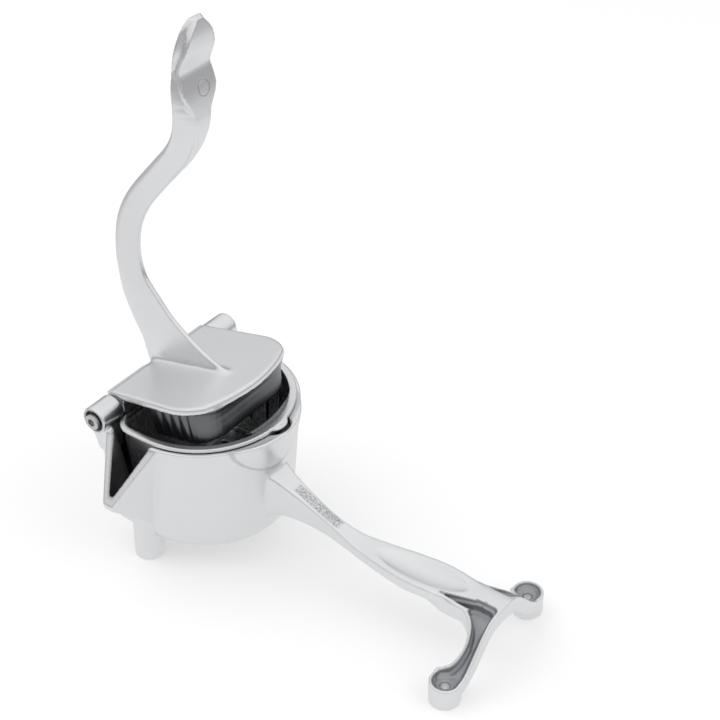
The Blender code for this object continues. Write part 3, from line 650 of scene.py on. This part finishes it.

# %% [markdown]
# Last comes the pocket under the strainer's tab. Then the joined solid gets its cast skin, and two painted
# numbers say where its colour is darkened: painted shade in the hollows, rough skin with painted shade in the
# channels, and a thin line of painted shade in the boss's crease.

# %% Tab pocket, skin and painted numbers
TAB_X, TAB_Y = 47.2, 3.0
pocket = bar("pocket", TAB_X, TAB_Y, 88.6, 10.2, 8.0, sides=96)
painted_shade_places.append(surface_of(pocket))
carve(body, pocket)
cast(body, 0.7, 3, [([handle_skin], [cup_skin, boss_skin], 3.5, 8)])


def recess_skin_and_crease_shade(place, normal):
    """The rough skin in the recesses with its painted shade, and a thin line of painted shade in the crease
    under the boss.
    """
    # The crease where the boss meets the cup is painted darker as shade.
    crease = min(near([cup_skin], place, 0.45), near([boss_skin], place, 0.45))
    return max(near(cast_recesses, place, 0.9), 0.45 * crease)


# Rough skin with painted shade in the channels, and a line of painted shade in the boss's crease.
paint(body, "recess", recess_skin_and_crease_shade)
# Painted shade inside the cup and beak, in the screw recesses and in the tab pocket.
paint(body, "hollow", lambda place, normal: near(painted_shade_places, place, 1.5))

# %% [markdown]
# ## The strainer
# The strainer is the same kind of bowl, hung in the cup by a rounded bead, with a wide flange and a tab at
# the front for a finger. Flange and tab are cut back to an arc about the hinge, which the lid's front
# sweeps.

# %% Strainer
SEAT_HEIGHT, BEAD_RADIUS, SWEEP_RADIUS = 90.3, 53.3, 75.8
strainer = bowl("strainer_shell", 50.7, 22.0, 10.0, 32.0, SEAT_HEIGHT + 1.0, 3.6, 4.5)
weld(strainer, bowl("bead", BEAD_RADIUS, 22.6, 10.6, SEAT_HEIGHT, SEAT_HEIGHT + 2.4, 0.0, 0.5))
inside = bowl("inside", 48.7, 20.0, 8.0, 34.0, 110.0, 3.6, 4.0, rim=90.0)
inside_skin = surface_of(inside)
carve(strainer, inside)
flange = block("flange", (20, -12.5, SEAT_HEIGHT), (56, 46, SEAT_HEIGHT + 1.8))
trim(flange, bar("edge", 0, 0, SEAT_HEIGHT, BEAD_RADIUS + 0.1, 10, sides=160))
tab = bar("tab", TAB_X, TAB_Y, SEAT_HEIGHT + 0.95, 9.0, 1.9, sides=96)
for rim_piece in (flange, tab):
    carve(rim_piece, bar("lid_path", HINGE_X, 0, SEAT_HEIGHT, SWEEP_RADIUS, 12, sides=256))
weld(strainer, flange, tab)
print("strainer without slots:", len(strainer.data.polygons), "faces")

# %% [markdown]
# Slots run down the strainer's wall and along its floor. Each is a thin box: those of the wall are turned
# about the cup's middle, and those of the floor end where the floor's round front does.

# %% Strainer slots and skin
WALL_SLOTS, FIRST_SLOT, SLOT_STEP, SLOT_RING = 15, -112, 16, 46
FLOOR_SLOTS, FLOOR_SLOT_STEP, FLOOR_SLOT_HALF, FLOOR_REACH = 7, 9.0, 1.3, 35.5
slots = []
for i in range(WALL_SLOTS):
    turn = math.radians(FIRST_SLOT + SLOT_STEP * i)
    place = at(SLOT_RING * math.cos(turn), SLOT_RING * math.sin(turn), 60)
    nothing()
    bpy.ops.mesh.primitive_cube_add(size=MM, location=place, rotation=(0, 0, turn), scale=(17, 2.4, 36))
    slots.append(settle("slot"))
for i in range(FLOOR_SLOTS):
    y = FLOOR_SLOT_STEP * (i - FLOOR_SLOTS // 2)
    reach = math.sqrt(FLOOR_REACH**2 - y**2)
    slots.append(block("slot", (-12, y - FLOOR_SLOT_HALF, 28), (reach, y + FLOOR_SLOT_HALF, 37)))
carve(strainer, *slots)
cast(strainer, 0.62, 2)


def shade_inside_strainer(place, normal):
    """1 on the strainer's inner wall below its polished rim, which is painted darker as shade."""
    return near([inside_skin], place, 1.4) if place.z < 89.5 * MM else 0.0


# The strainer's inside is painted darker as shade.
paint(strainer, "hollow", shade_inside_strainer)

# %% [markdown]
# ## The lid, its block and the hinge knuckle
# The lid is a plate with a shallow round front and well rounded corners. It is modelled level, with its
# places counted from the hinge, and tilted about the hinge later, because the lid rests a little open.

# %% Plate
PLATE_LIFT, PLATE_TOP, REST_TILT = 5.2, 9.4, 12.0
PLATE_HALF, PLATE_BACK_HALF, PLATE_REACH = 43.2, 41.2, 74.5


def beside_hinge(x, y, z):
    return (HINGE_X + x, y, HINGE_Z + z)


lid = block(
    "press_arm", beside_hinge(0, -PLATE_HALF, PLATE_LIFT), beside_hinge(PLATE_REACH, PLATE_HALF, PLATE_TOP)
)
pick(lid, "EDGE", lambda place, way: abs(way.z) > 0.9 and place.x > 0)
bpy.ops.mesh.bevel(offset=29 * MM, segments=14, affect="EDGES", clamp_overlap=False)
pick(lid, "VERT", lambda place, normal: place.x < HINGE_X + 1)
bpy.ops.transform.resize(value=(1, PLATE_BACK_HALF / PLATE_HALF, 1), center_override=tuple(CUP))
trim(lid, bar("front", HINGE_X + 0.5, 0, HINGE_Z + 7, 74.0, 30, sides=256))
pick(lid, "EDGE", lambda place, way: place.z > HINGE_Z + PLATE_TOP - 0.01 and place.x > HINGE_X + 1)
bpy.ops.mesh.bevel(offset=1.7 * MM, segments=4, affect="EDGES", clamp_overlap=False)
print("plate:", len(lid.data.polygons), "faces")

# %% [markdown]
# Under the plate sits the press block. Its front draws back as it goes down, so its lower face is extruded in
# steps and made a little shorter at each. Round flutes down its sides let the juice past.

# %% Press block
BLOCK_HALF = 38.8
press = block("press_block", beside_hinge(25, -BLOCK_HALF, 5.0), beside_hinge(70.5, BLOCK_HALF, 6.0))
pick(press, "EDGE", lambda place, way: abs(way.z) > 0.9 and place.x > 0)
bpy.ops.mesh.bevel(offset=17 * MM, segments=7, affect="EDGES", clamp_overlap=False)
pick(press, "FACE", lambda place, normal: normal.z < -0.9)
centre = at(*beside_hinge(25, 0, 0))
for drop, draw in ((3, 0.955), (4, 0.962), (5, 0.975), (5, 0.985), (3.4, 0.992)):
    bpy.ops.mesh.extrude_region_move(TRANSFORM_OT_translate={"value": (0, 0, -drop * MM)})
    bpy.ops.transform.resize(value=(draw, 0.995, 1), center_override=tuple(centre))
flutes = []
for side in (-1, 1):
    for i in range(5):
        place = beside_hinge(33.0 + 6.4 * i, side * 38.9, -6.0)
        flutes.append(bar("flute", *place, 1.7, 21.0, sides=20))
carve(press, *flutes)
print("press block:", len(press.data.polygons), "faces")

# %% [markdown]
# The knuckle is the bar that turns between the ears. A web, wedge-shaped from the side, ties the plate's back
# edge to it. The knuckle is round about the hinge, so it can be added after the rest has been tilted.

# %% Web, tilt and knuckle
WEB_HALF, KNUCKLE_RADIUS, KNUCKLE_LENGTH = 41.0, 7.0, 82.4
web = {}
for side in (-1, 1):
    web[(-1, side, -1)] = beside_hinge(-6, side * WEB_HALF, 0)
    web[(1, side, -1)] = beside_hinge(8, side * WEB_HALF, 2.5)
    web[(-1, side, 1)] = beside_hinge(-3.8, side * WEB_HALF, 8.8)
    web[(1, side, 1)] = beside_hinge(8, side * WEB_HALF, 9.2)
weld(lid, press, wedge("web", web))
all_of(lid)
bpy.ops.transform.rotate(value=math.radians(REST_TILT), orient_axis="Y", center_override=tuple(HINGE))
weld(lid, bar("knuckle", HINGE_X, 0, HINGE_Z, KNUCKLE_RADIUS, KNUCKLE_LENGTH, "Y", 72))
print("lid:", len(lid.data.polygons), "faces")

# %% [markdown]
# ## The blade and the grip
# The blade is a thin bar with a long foot along the middle of the plate. Its sections start nearly level,
# turn upright as it climbs, and end in a flat grip, which has a hollow fold for the thumb below its tip.
# Its front edge is thinner than its back, as on any cast lever.

# %% Stations of the blade and the grip
# All are measured from the hinge. In the foot, a row is its back corner and its front corner, in X and Z.
BLADE_FOOT = (
    (-9.5, 4.0, 58.0, 18.4),
    (-10.4, 12.0, 46.2, 22.4),
    (-12.0, 20.0, 34.6, 26.2),
    (-16.4, 28.5, 21.4, 33.9),
    (-21.0, 38.5, 10.2, 42.4),
    (-24.4, 48.0, 2.0, 51.6),
)
# Above the foot, a row is X, Z, turn, half depth and half width.
BLADE = (
    (-16.3, 60.5, 9.8, 9.9, 2.9),
    (-18.3, 72.0, 2.0, 8.7, 2.9),
    (-18.0, 84.0, -6.3, 8.1, 3.0),
    (-15.6, 96.0, -17.2, 7.8, 3.1),
    (-10.6, 107.5, -27.5, 7.5, 3.2),
    (-3.8, 118.0, -36.6, 7.3, 3.4),
    (5.2, 129.0, -40.4, 7.2, 3.8),
    (15.0, 140.5, -39.8, 7.1, 4.6),
    (25.2, 152.5, -35.0, 7.1, 6.4),
    (33.0, 165.0, -26.0, 6.8, 9.6),
    (37.0, 177.0, -13.0, 6.0, 12.4),
    (37.7, 188.0, -5.0, 4.8, 13.8),
    (36.9, 197.0, -2.0, 3.7, 14.0),
    (36.1, 205.0, -1.0, 2.5, 12.6),
    (37.4, 211.0, -6.0, 3.1, 12.6),
    (39.6, 218.0, -9.0, 4.0, 12.4),
    (41.0, 225.0, -9.0, 3.8, 10.4),
    (41.9, 230.0, -8.0, 3.1, 8.0),
    (42.5, 234.0, -6.0, 2.0, 4.4),
)
# The raised face of the grip has its front in X, its height and half its width.
THUMB_FACE = (
    (32.3, 150.0, 0.5),
    (37.6, 158.0, 0.9),
    (40.9, 165.0, 1.8),
    (42.4, 172.0, 3.4),
    (43.1, 181.0, 6.6),
    (42.9, 192.0, 12.0),
    (41.2, 199.0, 12.9),
    (39.6, 205.0, 12.2),
    (41.4, 211.0, 12.0),
    (43.9, 217.0, 11.6),
    (45.3, 224.0, 9.4),
    (45.5, 229.0, 6.4),
    (44.9, 233.6, 2.6),
)
print("stations:", len(BLADE_FOOT), len(BLADE), len(THUMB_FACE))

# %% Blade and grip
BLADE_HALF_WIDTH, FACE_HALF_DEPTH = 2.9, 1.6
rows = []
for back_x, back_z, front_x, front_z in BLADE_FOOT:
    reach = Vector((front_x - back_x, front_z - back_z))
    turn = math.degrees(math.atan2(reach.y, reach.x))
    rows.append(((back_x + front_x) / 2, (back_z + front_z) / 2, turn, reach.length / 2, BLADE_HALF_WIDTH))
rows = [(HINGE_X + x, HINGE_Z + z, *rest) for x, z, *rest in (*rows, *BLADE)]
blade = grow("blade", between(rows, 4), (0.16, 0.42), front=0.55)
face = [(HINGE_X + x - FACE_HALF_DEPTH, HINGE_Z + z, 0.0, FACE_HALF_DEPTH, wide) for x, z, wide in THUMB_FACE]
weld(blade, grow("thumb_face", between(face, 4), (0.1, 0.1)))
print("blade:", len(blade.data.polygons), "faces")

# %% [markdown]
# The blade is joined to the plate, the knuckle gets its bores, and the lid gets its cast skin, with a soft
# fillet along the blade's foot. Its underside and the press block are painted dark as shade, and nothing on
# it is rough-cast.

# %% Lid with its blade, bores and skin
lid_skin, blade_skin = surface_of(lid), surface_of(blade)
weld(lid, blade)
for side in (-1, 1):
    carve(lid, bar("bore", HINGE_X, side * 33, HINGE_Z, BORE_RADIUS, 21, "Y", 48))
cast(lid, 0.6, 3, [([lid_skin], [blade_skin], 8.0, 110)])
paint(lid, "recess", lambda place, normal: 0.0)


def under_lid(place, normal):
    """1 on the press block and the lid's underside, which are painted dark as shade."""
    spot = local(place) - Vector(beside_hinge(0, 0, 0))
    tilt = math.radians(REST_TILT)
    height = spot.z * math.cos(tilt) - spot.x * math.sin(tilt)
    along = spot.x * math.cos(tilt) + spot.z * math.sin(tilt)
    return max(0.0, min(1.0, (PLATE_LIFT + 0.6 - height) / 0.8)) * (1.0 if along > 12 else 0.0)


# The press block and the lid's underside are painted dark as shade.
paint(lid, "hollow", under_lid)

# %% [markdown]
# ## Hinge screws and washers
# Each screw has a knurled head with a hexagon socket and a plain shank that runs through the ear into the
# knuckle. The knurls are every third face of the head's side, set in a little. A thin washer takes the wear
# between ear and knuckle.

# %% Screws and washers
HEAD_START, HEAD_HEIGHT, HEAD_RADIUS, SHANK_RADIUS = 55.1, 5.6, 4.75, 3.0
WASHER_MIDDLE, WASHER_RADIUS, WASHER_THICKNESS = 41.85, 6.4, 0.7
STEPS = 96


def knurled(place, normal):
    """Every third face round the side of the head."""
    angle = math.atan2(place.z - HINGE_Z, place.x - HINGE_X) / (2 * math.pi) % 1.0
    return abs(normal.y) < 0.1 and int(angle * STEPS) % 3 == 0


def make_screw(name, side):
    middle = side * (HEAD_START + HEAD_HEIGHT / 2)
    screw = bar(name, HINGE_X, middle, HINGE_Z, HEAD_RADIUS, HEAD_HEIGHT, "Y", STEPS)
    pick(screw, "EDGE", lambda place, way: side * place.y > HEAD_START + HEAD_HEIGHT - 0.01)
    bpy.ops.mesh.bevel(offset=0.5 * MM, segments=3, affect="EDGES", clamp_overlap=False)
    pick(screw, "FACE", knurled)
    bpy.ops.mesh.inset(thickness=0.03 * MM, depth=-0.16 * MM, use_individual=True)
    shank = bar("shank", HINGE_X, side * 40.0, HINGE_Z, SHANK_RADIUS, 30.4, "Y", 48)
    pick(shank, "EDGE", lambda place, way: side * place.y < 25.0)
    bpy.ops.mesh.bevel(offset=0.6 * MM, segments=2, affect="EDGES", clamp_overlap=False)
    weld(screw, shank)
    carve(screw, bar("socket", HINGE_X, side * (HEAD_START + HEAD_HEIGHT), HINGE_Z, 2.6, 6.0, "Y", 6))
    alone(screw)
    bpy.ops.object.shade_smooth_by_angle(angle=math.radians(35))
    return screw


def make_washer(name, side):
    washer = bar(name, HINGE_X, side * WASHER_MIDDLE, HINGE_Z, WASHER_RADIUS, WASHER_THICKNESS, "Y", 72)
    pick(washer, "EDGE", lambda place, way: abs(way.y) < 0.1)
    bpy.ops.mesh.bevel(offset=0.12 * MM, segments=2, affect="EDGES", clamp_overlap=False)
    carve(washer, bar("hole", HINGE_X, side * WASHER_MIDDLE, HINGE_Z, BORE_RADIUS, 3.0, "Y", 48))
    alone(washer)
    bpy.ops.object.shade_smooth_by_angle(angle=math.radians(35))
    return washer


SIDES = {"near": -1, "far": 1}
screws = {name: make_screw(f"{name}_socket_screw", side) for name, side in SIDES.items()}
washers = {name: make_washer(f"{name}_washer", side) for name, side in SIDES.items()}
print("screw faces:", len(screws["near"].data.polygons))

# %% [markdown]
# ## Finishes
# Shader maths reads best as ordinary arithmetic. The Value class holds a socket, and adding or multiplying
# it makes the Math node. Every other node comes from one method of Finish, which takes its type, its settings
# and what goes into its sockets.

# %% Arithmetic on sockets
class Value:
    """A shader value that Python's operators turn into Math nodes."""

    def __init__(self, finish, socket):
        self.finish = finish
        self.socket = socket

    def maths(self, operation, first, second=0.0, clamp=False):
        settings = {"operation": operation, "use_clamp": clamp}
        return self.finish.value("ShaderNodeMath", settings, {0: first, 1: second})

    def __add__(self, other):
        return self.maths("ADD", self, other)

    def __sub__(self, other):
        return self.maths("SUBTRACT", self, other)

    def __rsub__(self, other):
        return self.maths("SUBTRACT", other, self)

    def __mul__(self, other):
        return self.maths("MULTIPLY", self, other)

    def __pow__(self, other):
        return self.maths("POWER", self, other)

    __radd__ = __add__
    __rmul__ = __mul__

    def held(self):
        """The same value kept between 0 and 1."""
        return self.maths("ADD", self, 0.0, clamp=True)


class Finish:
    """A new material, and the one method that adds a node to it."""

    def __init__(self, name, tree=None):
        if tree is None:
            self.material = bpy.data.materials.new(name)
            self.material.use_nodes = True
            tree = self.material.node_tree
        self.tree = tree

    def node(self, kind, settings=None, sockets=None):
        made = self.tree.nodes.new(kind)
        for name, setting in (settings or {}).items():
            if name == "stops":
                ramp = made.color_ramp.elements
                while len(ramp) < len(setting):
                    ramp.new(0.5)
                for stop, (position, colour) in zip(ramp, setting):
                    stop.position = position
                    stop.color = (*colour, 1.0)
            else:
                setattr(made, name, setting)
        for name, given in (sockets or {}).items():
            if isinstance(given, Value):
                given = given.socket
            if isinstance(given, bpy.types.NodeSocket):
                self.tree.links.new(given, made.inputs[name])
            else:
                made.inputs[name].default_value = given
        return made

    def value(self, kind, settings=None, sockets=None, output=0):
        return Value(self, self.node(kind, settings, sockets).outputs[output])

    def mix(self, share, first, second):
        """A colour that goes from the first to the second. A colour is three numbers or a socket."""
        ends = [end if isinstance(end, bpy.types.NodeSocket) else (*end, 1) for end in (first, second)]
        mixed = self.node("ShaderNodeMix", {"data_type": "RGBA"}, {0: share, 6: ends[0], 7: ends[1]})
        return mixed.outputs[2]

    def parts(self, place):
        """X, Y and Z of a vector socket, as values."""
        split = self.node("ShaderNodeSeparateXYZ", None, {0: place})
        return [Value(self, socket) for socket in split.outputs]

    def surface(self, sockets, constants):
        """Feeds the material's own Principled shader."""
        shader = self.tree.nodes["Principled BSDF"]
        for name, given in sockets.items():
            self.tree.links.new(given.socket if isinstance(given, Value) else given, shader.inputs[name])
        for name, given in constants.items():
            shader.inputs[name].default_value = given
        return self.material


def grain(finish, place, scale, detail=2.0, stretch=None):
    """Noise on the piece's own coordinates, with about this many spots to the metre."""
    if stretch:
        place = finish.node("ShaderNodeMapping", None, {"Vector": place, "Scale": stretch}).outputs[0]
    return finish.value("ShaderNodeTexNoise", None, {"Vector": place, "Scale": scale, "Detail": detail})


# %% [markdown]
# Polished cast aluminium is never an even mirror. The wheel leaves soft waves about a centimetre long, fine
# pores and hairline scratches, brightens the edges it runs over, and doesn't reach the corners, which stay
# rougher and are painted greyer as shade. Inside the cup, under the lid and inside the strainer the colour is
# painted darker as shade, and in the channels of the T the casting keeps its rough skin, with painted shade
# on it. The meshes carry two painted numbers that say where those places are.

# %% Cast aluminium
# A corner is painted darker as shade, to this share of the open surface's colour, and a rough-cast recess,
# with its painted shade, has this grey.
CORNER_SHADE_SHARE, ROUGH_SKIN_AND_SHADE_GREY = 0.62, (0.36, 0.37, 0.385)


def cast_aluminium(
    name, polished, skin, shine, waves, painted=("hollow", "recess"), stipple=False, mark=False
):
    """A polished casting, painted darker as shade and given its rough skin where the painted numbers say."""
    finish = Finish(name)
    place = finish.node("ShaderNodeTexCoord").outputs["Object"]
    wave = grain(finish, place, 75.0, 1.0)
    pores = grain(finish, place, 1400.0, 3.0)
    scratches = grain(finish, place, 420.0, 4.0, (1.0, 5.0, 0.35))
    clouds = grain(finish, place, 28.0, 3.0)
    edge = finish.value("ShaderNodeNewGeometry", None, None, "Pointiness")
    proud = ((edge - 0.5) * 5.0).held()
    sunk = ((0.5 - edge) * 6.0).held()
    masks = [finish.value("ShaderNodeAttribute", {"attribute_name": label}, None, "Fac") for label in painted]
    # The first painted number marks painted shade, the second the rough skin with its painted shade.
    shade_mask = masks[0]
    rough_skin_and_shade = masks[1] if len(masks) > 1 else shade_mask * 0.0
    if stipple:
        rough_skin_and_shade = (rough_skin_and_shade + stippled_strip(finish, place)).held()
    ring = mould_mark(finish, place) if mark else rough_skin_and_shade * 0.0
    # Concave corners are painted darker here as shade; the clouds and the mould ring are the metal's own
    # tone.
    shade = (0.25 * sunk + 0.10 * clouds + 0.8 * ring).held()
    colour = finish.mix(shade, polished, [CORNER_SHADE_SHARE * c for c in polished])
    colour = finish.mix(0.85 * rough_skin_and_shade, colour, ROUGH_SKIN_AND_SHADE_GREY)
    # Painted shade: the hollows take the darker colour that is passed in as skin.
    colour = finish.mix(shade_mask, colour, skin)
    roughness = shine + 0.07 * clouds + 0.05 * scratches - 0.05 * proud + 0.10 * sunk + 0.22 * rough_skin_and_shade
    height = waves * wave + 0.006 * pores + 0.010 * scratches + 0.30 * (rough_skin_and_shade * pores) - 0.3 * ring
    bump = finish.node("ShaderNodeBump", None, {"Height": height, "Strength": 0.5, "Distance": 0.001})
    return finish.surface(
        {"Base Color": colour, "Roughness": roughness.held(), "Normal": bump.outputs[0]}, {"Metallic": 1.0}
    )


def ramp_between(value, low, high, soft):
    """1 where the value lies between two bounds, with soft ends."""
    rising = ((value - low) * (1 / soft)).held()
    falling = ((high - value) * (1 / soft)).held()
    return rising * falling


def mould_mark(finish, place):
    """The thin ring that an ejector pin leaves on the face of the grip."""
    x, y, z = finish.parts(place)
    spot = at(6.0, 2.6, 289.0)
    distance = ((y - spot.y) ** 2 + (z - spot.z) ** 2) ** 0.5
    line = ramp_between(distance, 3.5 * MM, 4.7 * MM, 0.4 * MM)
    on_front = ((x - spot.x) * 4000.0).held()
    return line * on_front


def stippled_strip(finish, place):
    """The rough patch on top of the handle's waist, which is left as cast."""
    x, y, z = finish.parts(place)
    start, end = at(66, 0, 0).x, at(98, 0, 0).x
    along = ramp_between(x, start, end, 2.0 * MM)
    across = ramp_between(y, CUP.y - 3.6 * MM, CUP.y + 3.6 * MM, 0.8 * MM)
    # The handle's top falls towards the foot, so its height is levelled before the underside is masked off.
    level = z - (x - start) * -0.42
    on_top = ramp_between(level, 52.0 * MM, 70.0 * MM, 1.0 * MM)
    speckle = ((grain(finish, place, 1100.0, 2.0) - 0.47) * 9.0).held()
    return along * across * on_top * (0.25 + 0.75 * speckle)


POLISHED, TUMBLED = (0.88, 0.885, 0.89), (0.82, 0.825, 0.83)
# The colours of the painted shade inside the cup's hollows, under the lid and inside the strainer.
CUP_HOLLOW_SHADE, UNDER_LID_SHADE, STRAINER_INSIDE_SHADE = (0.44, 0.445, 0.455), (0.19, 0.193, 0.20), (0.58, 0.585, 0.595)
body_finish = cast_aluminium("polished_casting", POLISHED, CUP_HOLLOW_SHADE, 0.25, 0.30, stipple=True)
lever_finish = cast_aluminium("polished_lever", POLISHED, UNDER_LID_SHADE, 0.27, 0.26, mark=True)
strainer_finish = cast_aluminium("strainer_casting", TUMBLED, STRAINER_INSIDE_SHADE, 0.22, 0.24, ("hollow",))
print("body finish:", len(body_finish.node_tree.nodes), "nodes")

# %% [markdown]
# The screws are bright turned steel. Turning leaves rings about the screw's own axis, so their pattern
# reads the distance from the hinge line. The washers are plainer and duller.

# %% Turned steel
def turned_steel(name, colour, shine, rings):
    """Bright steel with fine rings about the hinge line and small darker spots."""
    finish = Finish(name)
    place = finish.node("ShaderNodeTexCoord").outputs["Object"]
    x, _, z = finish.parts(place)
    x, z = x - HINGE.x, z - HINGE.z
    distance = (x * x + z * z) ** 0.5
    ring = distance.maths("SINE", distance * rings)
    spots = grain(finish, place, 900.0, 3.0)
    height = 0.02 * ring + 0.05 * spots
    bump = finish.node("ShaderNodeBump", None, {"Height": height, "Strength": 0.4, "Distance": 0.001})
    mixed = finish.mix(0.4 * spots, colour, [0.6 * c for c in colour])
    return finish.surface(
        {"Base Color": mixed, "Roughness": shine + 0.12 * spots, "Normal": bump.outputs[0]}, {"Metallic": 1.0}
    )


screw_finish = turned_steel("turned_screw_steel", (0.66, 0.66, 0.67), 0.20, 26000.0)
washer_finish = turned_steel("washer_steel_plain", (0.50, 0.50, 0.51), 0.34, 9000.0)
print("screw finish:", len(screw_finish.node_tree.nodes), "nodes")

# %% [markdown]
# ## Tying the pieces to the frame
# Each visible piece now gets its finish, moves with its body, and hides the engineering part that it stands
# for.

# %% Ride, replace, slot
def tie(piece, body_name, node, finish):
    """Gives a piece its finish, hangs it on its body and hides the engineering part that it stands for."""
    piece.data.materials.clear()
    piece.data.materials.append(finish)
    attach(piece, body_name)
    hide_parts(node)


tie(body, "root", "base_casting", body_finish)
tie(strainer, "root", "strainer_basket", strainer_finish)
tie(lid, "lever", "press_lever", lever_finish)
for name in SIDES:
    tie(screws[name], "root", f"{name}_hinge_screw", screw_finish)
    tie(washers[name], "root", f"{name}_thrust_washer", washer_finish)
print("pieces tied:", 3 + len(screws) + len(washers))

# %% [markdown]
# ## Floor, light and camera
# A mirror shows its room, so the room is most of a polished casting's look. Here it is a white table, a pale
# ceiling and a darker band at eye level, whose reflection draws the thin dark lines along every rounded edge.
# To the camera itself, the room is plain white.

# %% Room
world = bpy.data.worlds.new("studio")
bpy.context.scene.world = world
world.use_nodes = True
room = Finish("studio", world.node_tree)
way = room.node("ShaderNodeTexCoord").outputs["Generated"]
upwards = room.parts(way)[2]
level = room.node(
    "ShaderNodeValToRGB",
    {
        "stops": (
            (0.0, (0.76, 0.76, 0.76)),
            (0.47, (0.60, 0.60, 0.61)),
            (0.50, (0.22, 0.22, 0.23)),
            (0.55, (0.24, 0.24, 0.25)),
            (0.62, (0.72, 0.72, 0.73)),
            (1.0, (0.92, 0.92, 0.92)),
        )
    },
    {0: upwards * 0.5 + 0.5},
).outputs[0]
rays = room.node("ShaderNodeLightPath")
seen = room.mix(rays.outputs["Is Camera Ray"], level, (1, 1, 1))
background = world.node_tree.nodes["Background"]
world.node_tree.links.new(seen, background.inputs["Color"])
print("room:", len(world.node_tree.nodes), "nodes")

# %% [markdown]
# The floor is a plain white table. The camera sees it a little lifted towards white, and keeps the press's
# shadow. A polished face sees it grey far off and nearly white close by, as in a room whose light falls off.

# %% Floor
# The floor lies just under the feet, so that the two surfaces don't flicker into each other.
FLOOR_GAP, NEAR_GREY, FAR_GREY = 0.0003, (0.79, 0.79, 0.795), (0.36, 0.36, 0.37)
nothing()
bpy.ops.mesh.primitive_plane_add(size=9.0, location=(0, 0, -FLOOR_GAP))
floor = settle("floor")
floor_finish = Finish("white_table")
place = floor_finish.node("ShaderNodeTexCoord").outputs["Object"]
distance = floor_finish.value("ShaderNodeVectorMath", {"operation": "LENGTH"}, {0: place}, "Value")
far_off = ((distance - 0.36) * 3.6).held()
rays = floor_finish.node("ShaderNodeLightPath")
to_camera = Value(floor_finish, rays.outputs["Is Camera Ray"])
to_metal = Value(floor_finish, rays.outputs["Is Glossy Ray"])
white = floor_finish.node("ShaderNodeEmission", None, {"Color": (1, 1, 1, 1), "Strength": 1.0})
grey = floor_finish.mix(far_off, NEAR_GREY, FAR_GREY)
reflected = floor_finish.node("ShaderNodeEmission", None, {"Color": grey, "Strength": 1.0})
shader = floor_finish.tree.nodes["Principled BSDF"]
shader.inputs["Base Color"].default_value = (0.92, 0.92, 0.92, 1)
shader.inputs["Roughness"].default_value = 0.9
shader.inputs["Specular IOR Level"].default_value = 0.1
seen, both = (
    floor_finish.node("ShaderNodeMixShader", None, {0: share, 2: other.outputs[0]})
    for share, other in ((0.42 * to_camera, white), (0.8 * to_metal, reflected))
)
links = floor_finish.tree.links
links.new(shader.outputs[0], seen.inputs[1])
links.new(seen.outputs[0], both.inputs[1])
links.new(both.outputs[0], floor_finish.tree.nodes["Material Output"].inputs["Surface"])
floor.data.materials.append(floor_finish.material)
print("floor finish:", len(floor_finish.tree.nodes), "nodes")

# %% [markdown]
# Two large soft lamps light the press: one high on the left, which is the main one, and a weaker one from
# the right. A polished casting shows each lamp as a bright shape, which would be burnt out to white at full
# power. So each is made as two lamps in one place: a strong one that metal doesn't mirror, and a weak glow
# that it does.

# %% Soft lamps
def soft_lamp(name, place, size, power):
    """A rectangular lamp that faces the press."""
    nothing()
    bpy.ops.object.light_add(type="AREA", location=place)
    lamp = bpy.context.object
    lamp.name = name
    lamp.data.shape = "RECTANGLE"
    lamp.data.size, lamp.data.size_y = size
    lamp.data.energy = power
    aim = Vector((0.0, 0.0, 0.10)) - Vector(place)
    lamp.rotation_euler = aim.to_track_quat("-Z", "Y").to_euler()
    return lamp


# A row is a name, a place and a size in metres, the strong lamp's watts and the glow's.
LAMPS = (("main", (-1.1, -0.5, 1.5), (1.9, 1.9), 13.5, 3.5), ("fill", (1.3, 0.3, 1.1), (1.3, 1.7), 6.5, 2.5))
for name, place, size, power, glow in LAMPS:
    soft_lamp(name + "_lamp", place, size, power).visible_glossy = False
    soft_lamp(name + "_glow", place, size, glow)
print("lamps:", 2 * len(LAMPS))

# %% [markdown]
# The camera looks down on the press from the front right with a long lens. Its place follows from where the
# cup's middle should appear: a little left of and below the picture's centre, just over a metre away.

# %% Camera
VIEW_TURN, VIEW_PITCH = math.radians(35.9), math.radians(35.9)
LEFT, BELOW, AHEAD = 0.08965, 0.09356, 1.0429
LENS, SENSOR = 86.03, 36.0
right = Vector((math.cos(VIEW_TURN), math.sin(VIEW_TURN), 0))
level_way = Vector((-math.sin(VIEW_TURN), math.cos(VIEW_TURN), 0))
forward = level_way * math.cos(VIEW_PITCH) - Vector((0, 0, 1)) * math.sin(VIEW_PITCH)
up = Vector((0, 0, 1)) * math.cos(VIEW_PITCH) + level_way * math.sin(VIEW_PITCH)
nothing()
bpy.ops.object.camera_add(location=CUP + LEFT * right + BELOW * up - AHEAD * forward)
camera = bpy.context.object
camera.rotation_euler = forward.to_track_quat("-Z", "Y").to_euler()
camera.data.lens, camera.data.sensor_width = LENS, SENSOR
bpy.context.scene.camera = camera
bpy.context.scene.view_settings.view_transform = "Standard"
print("camera at", [round(value, 3) for value in camera.location])
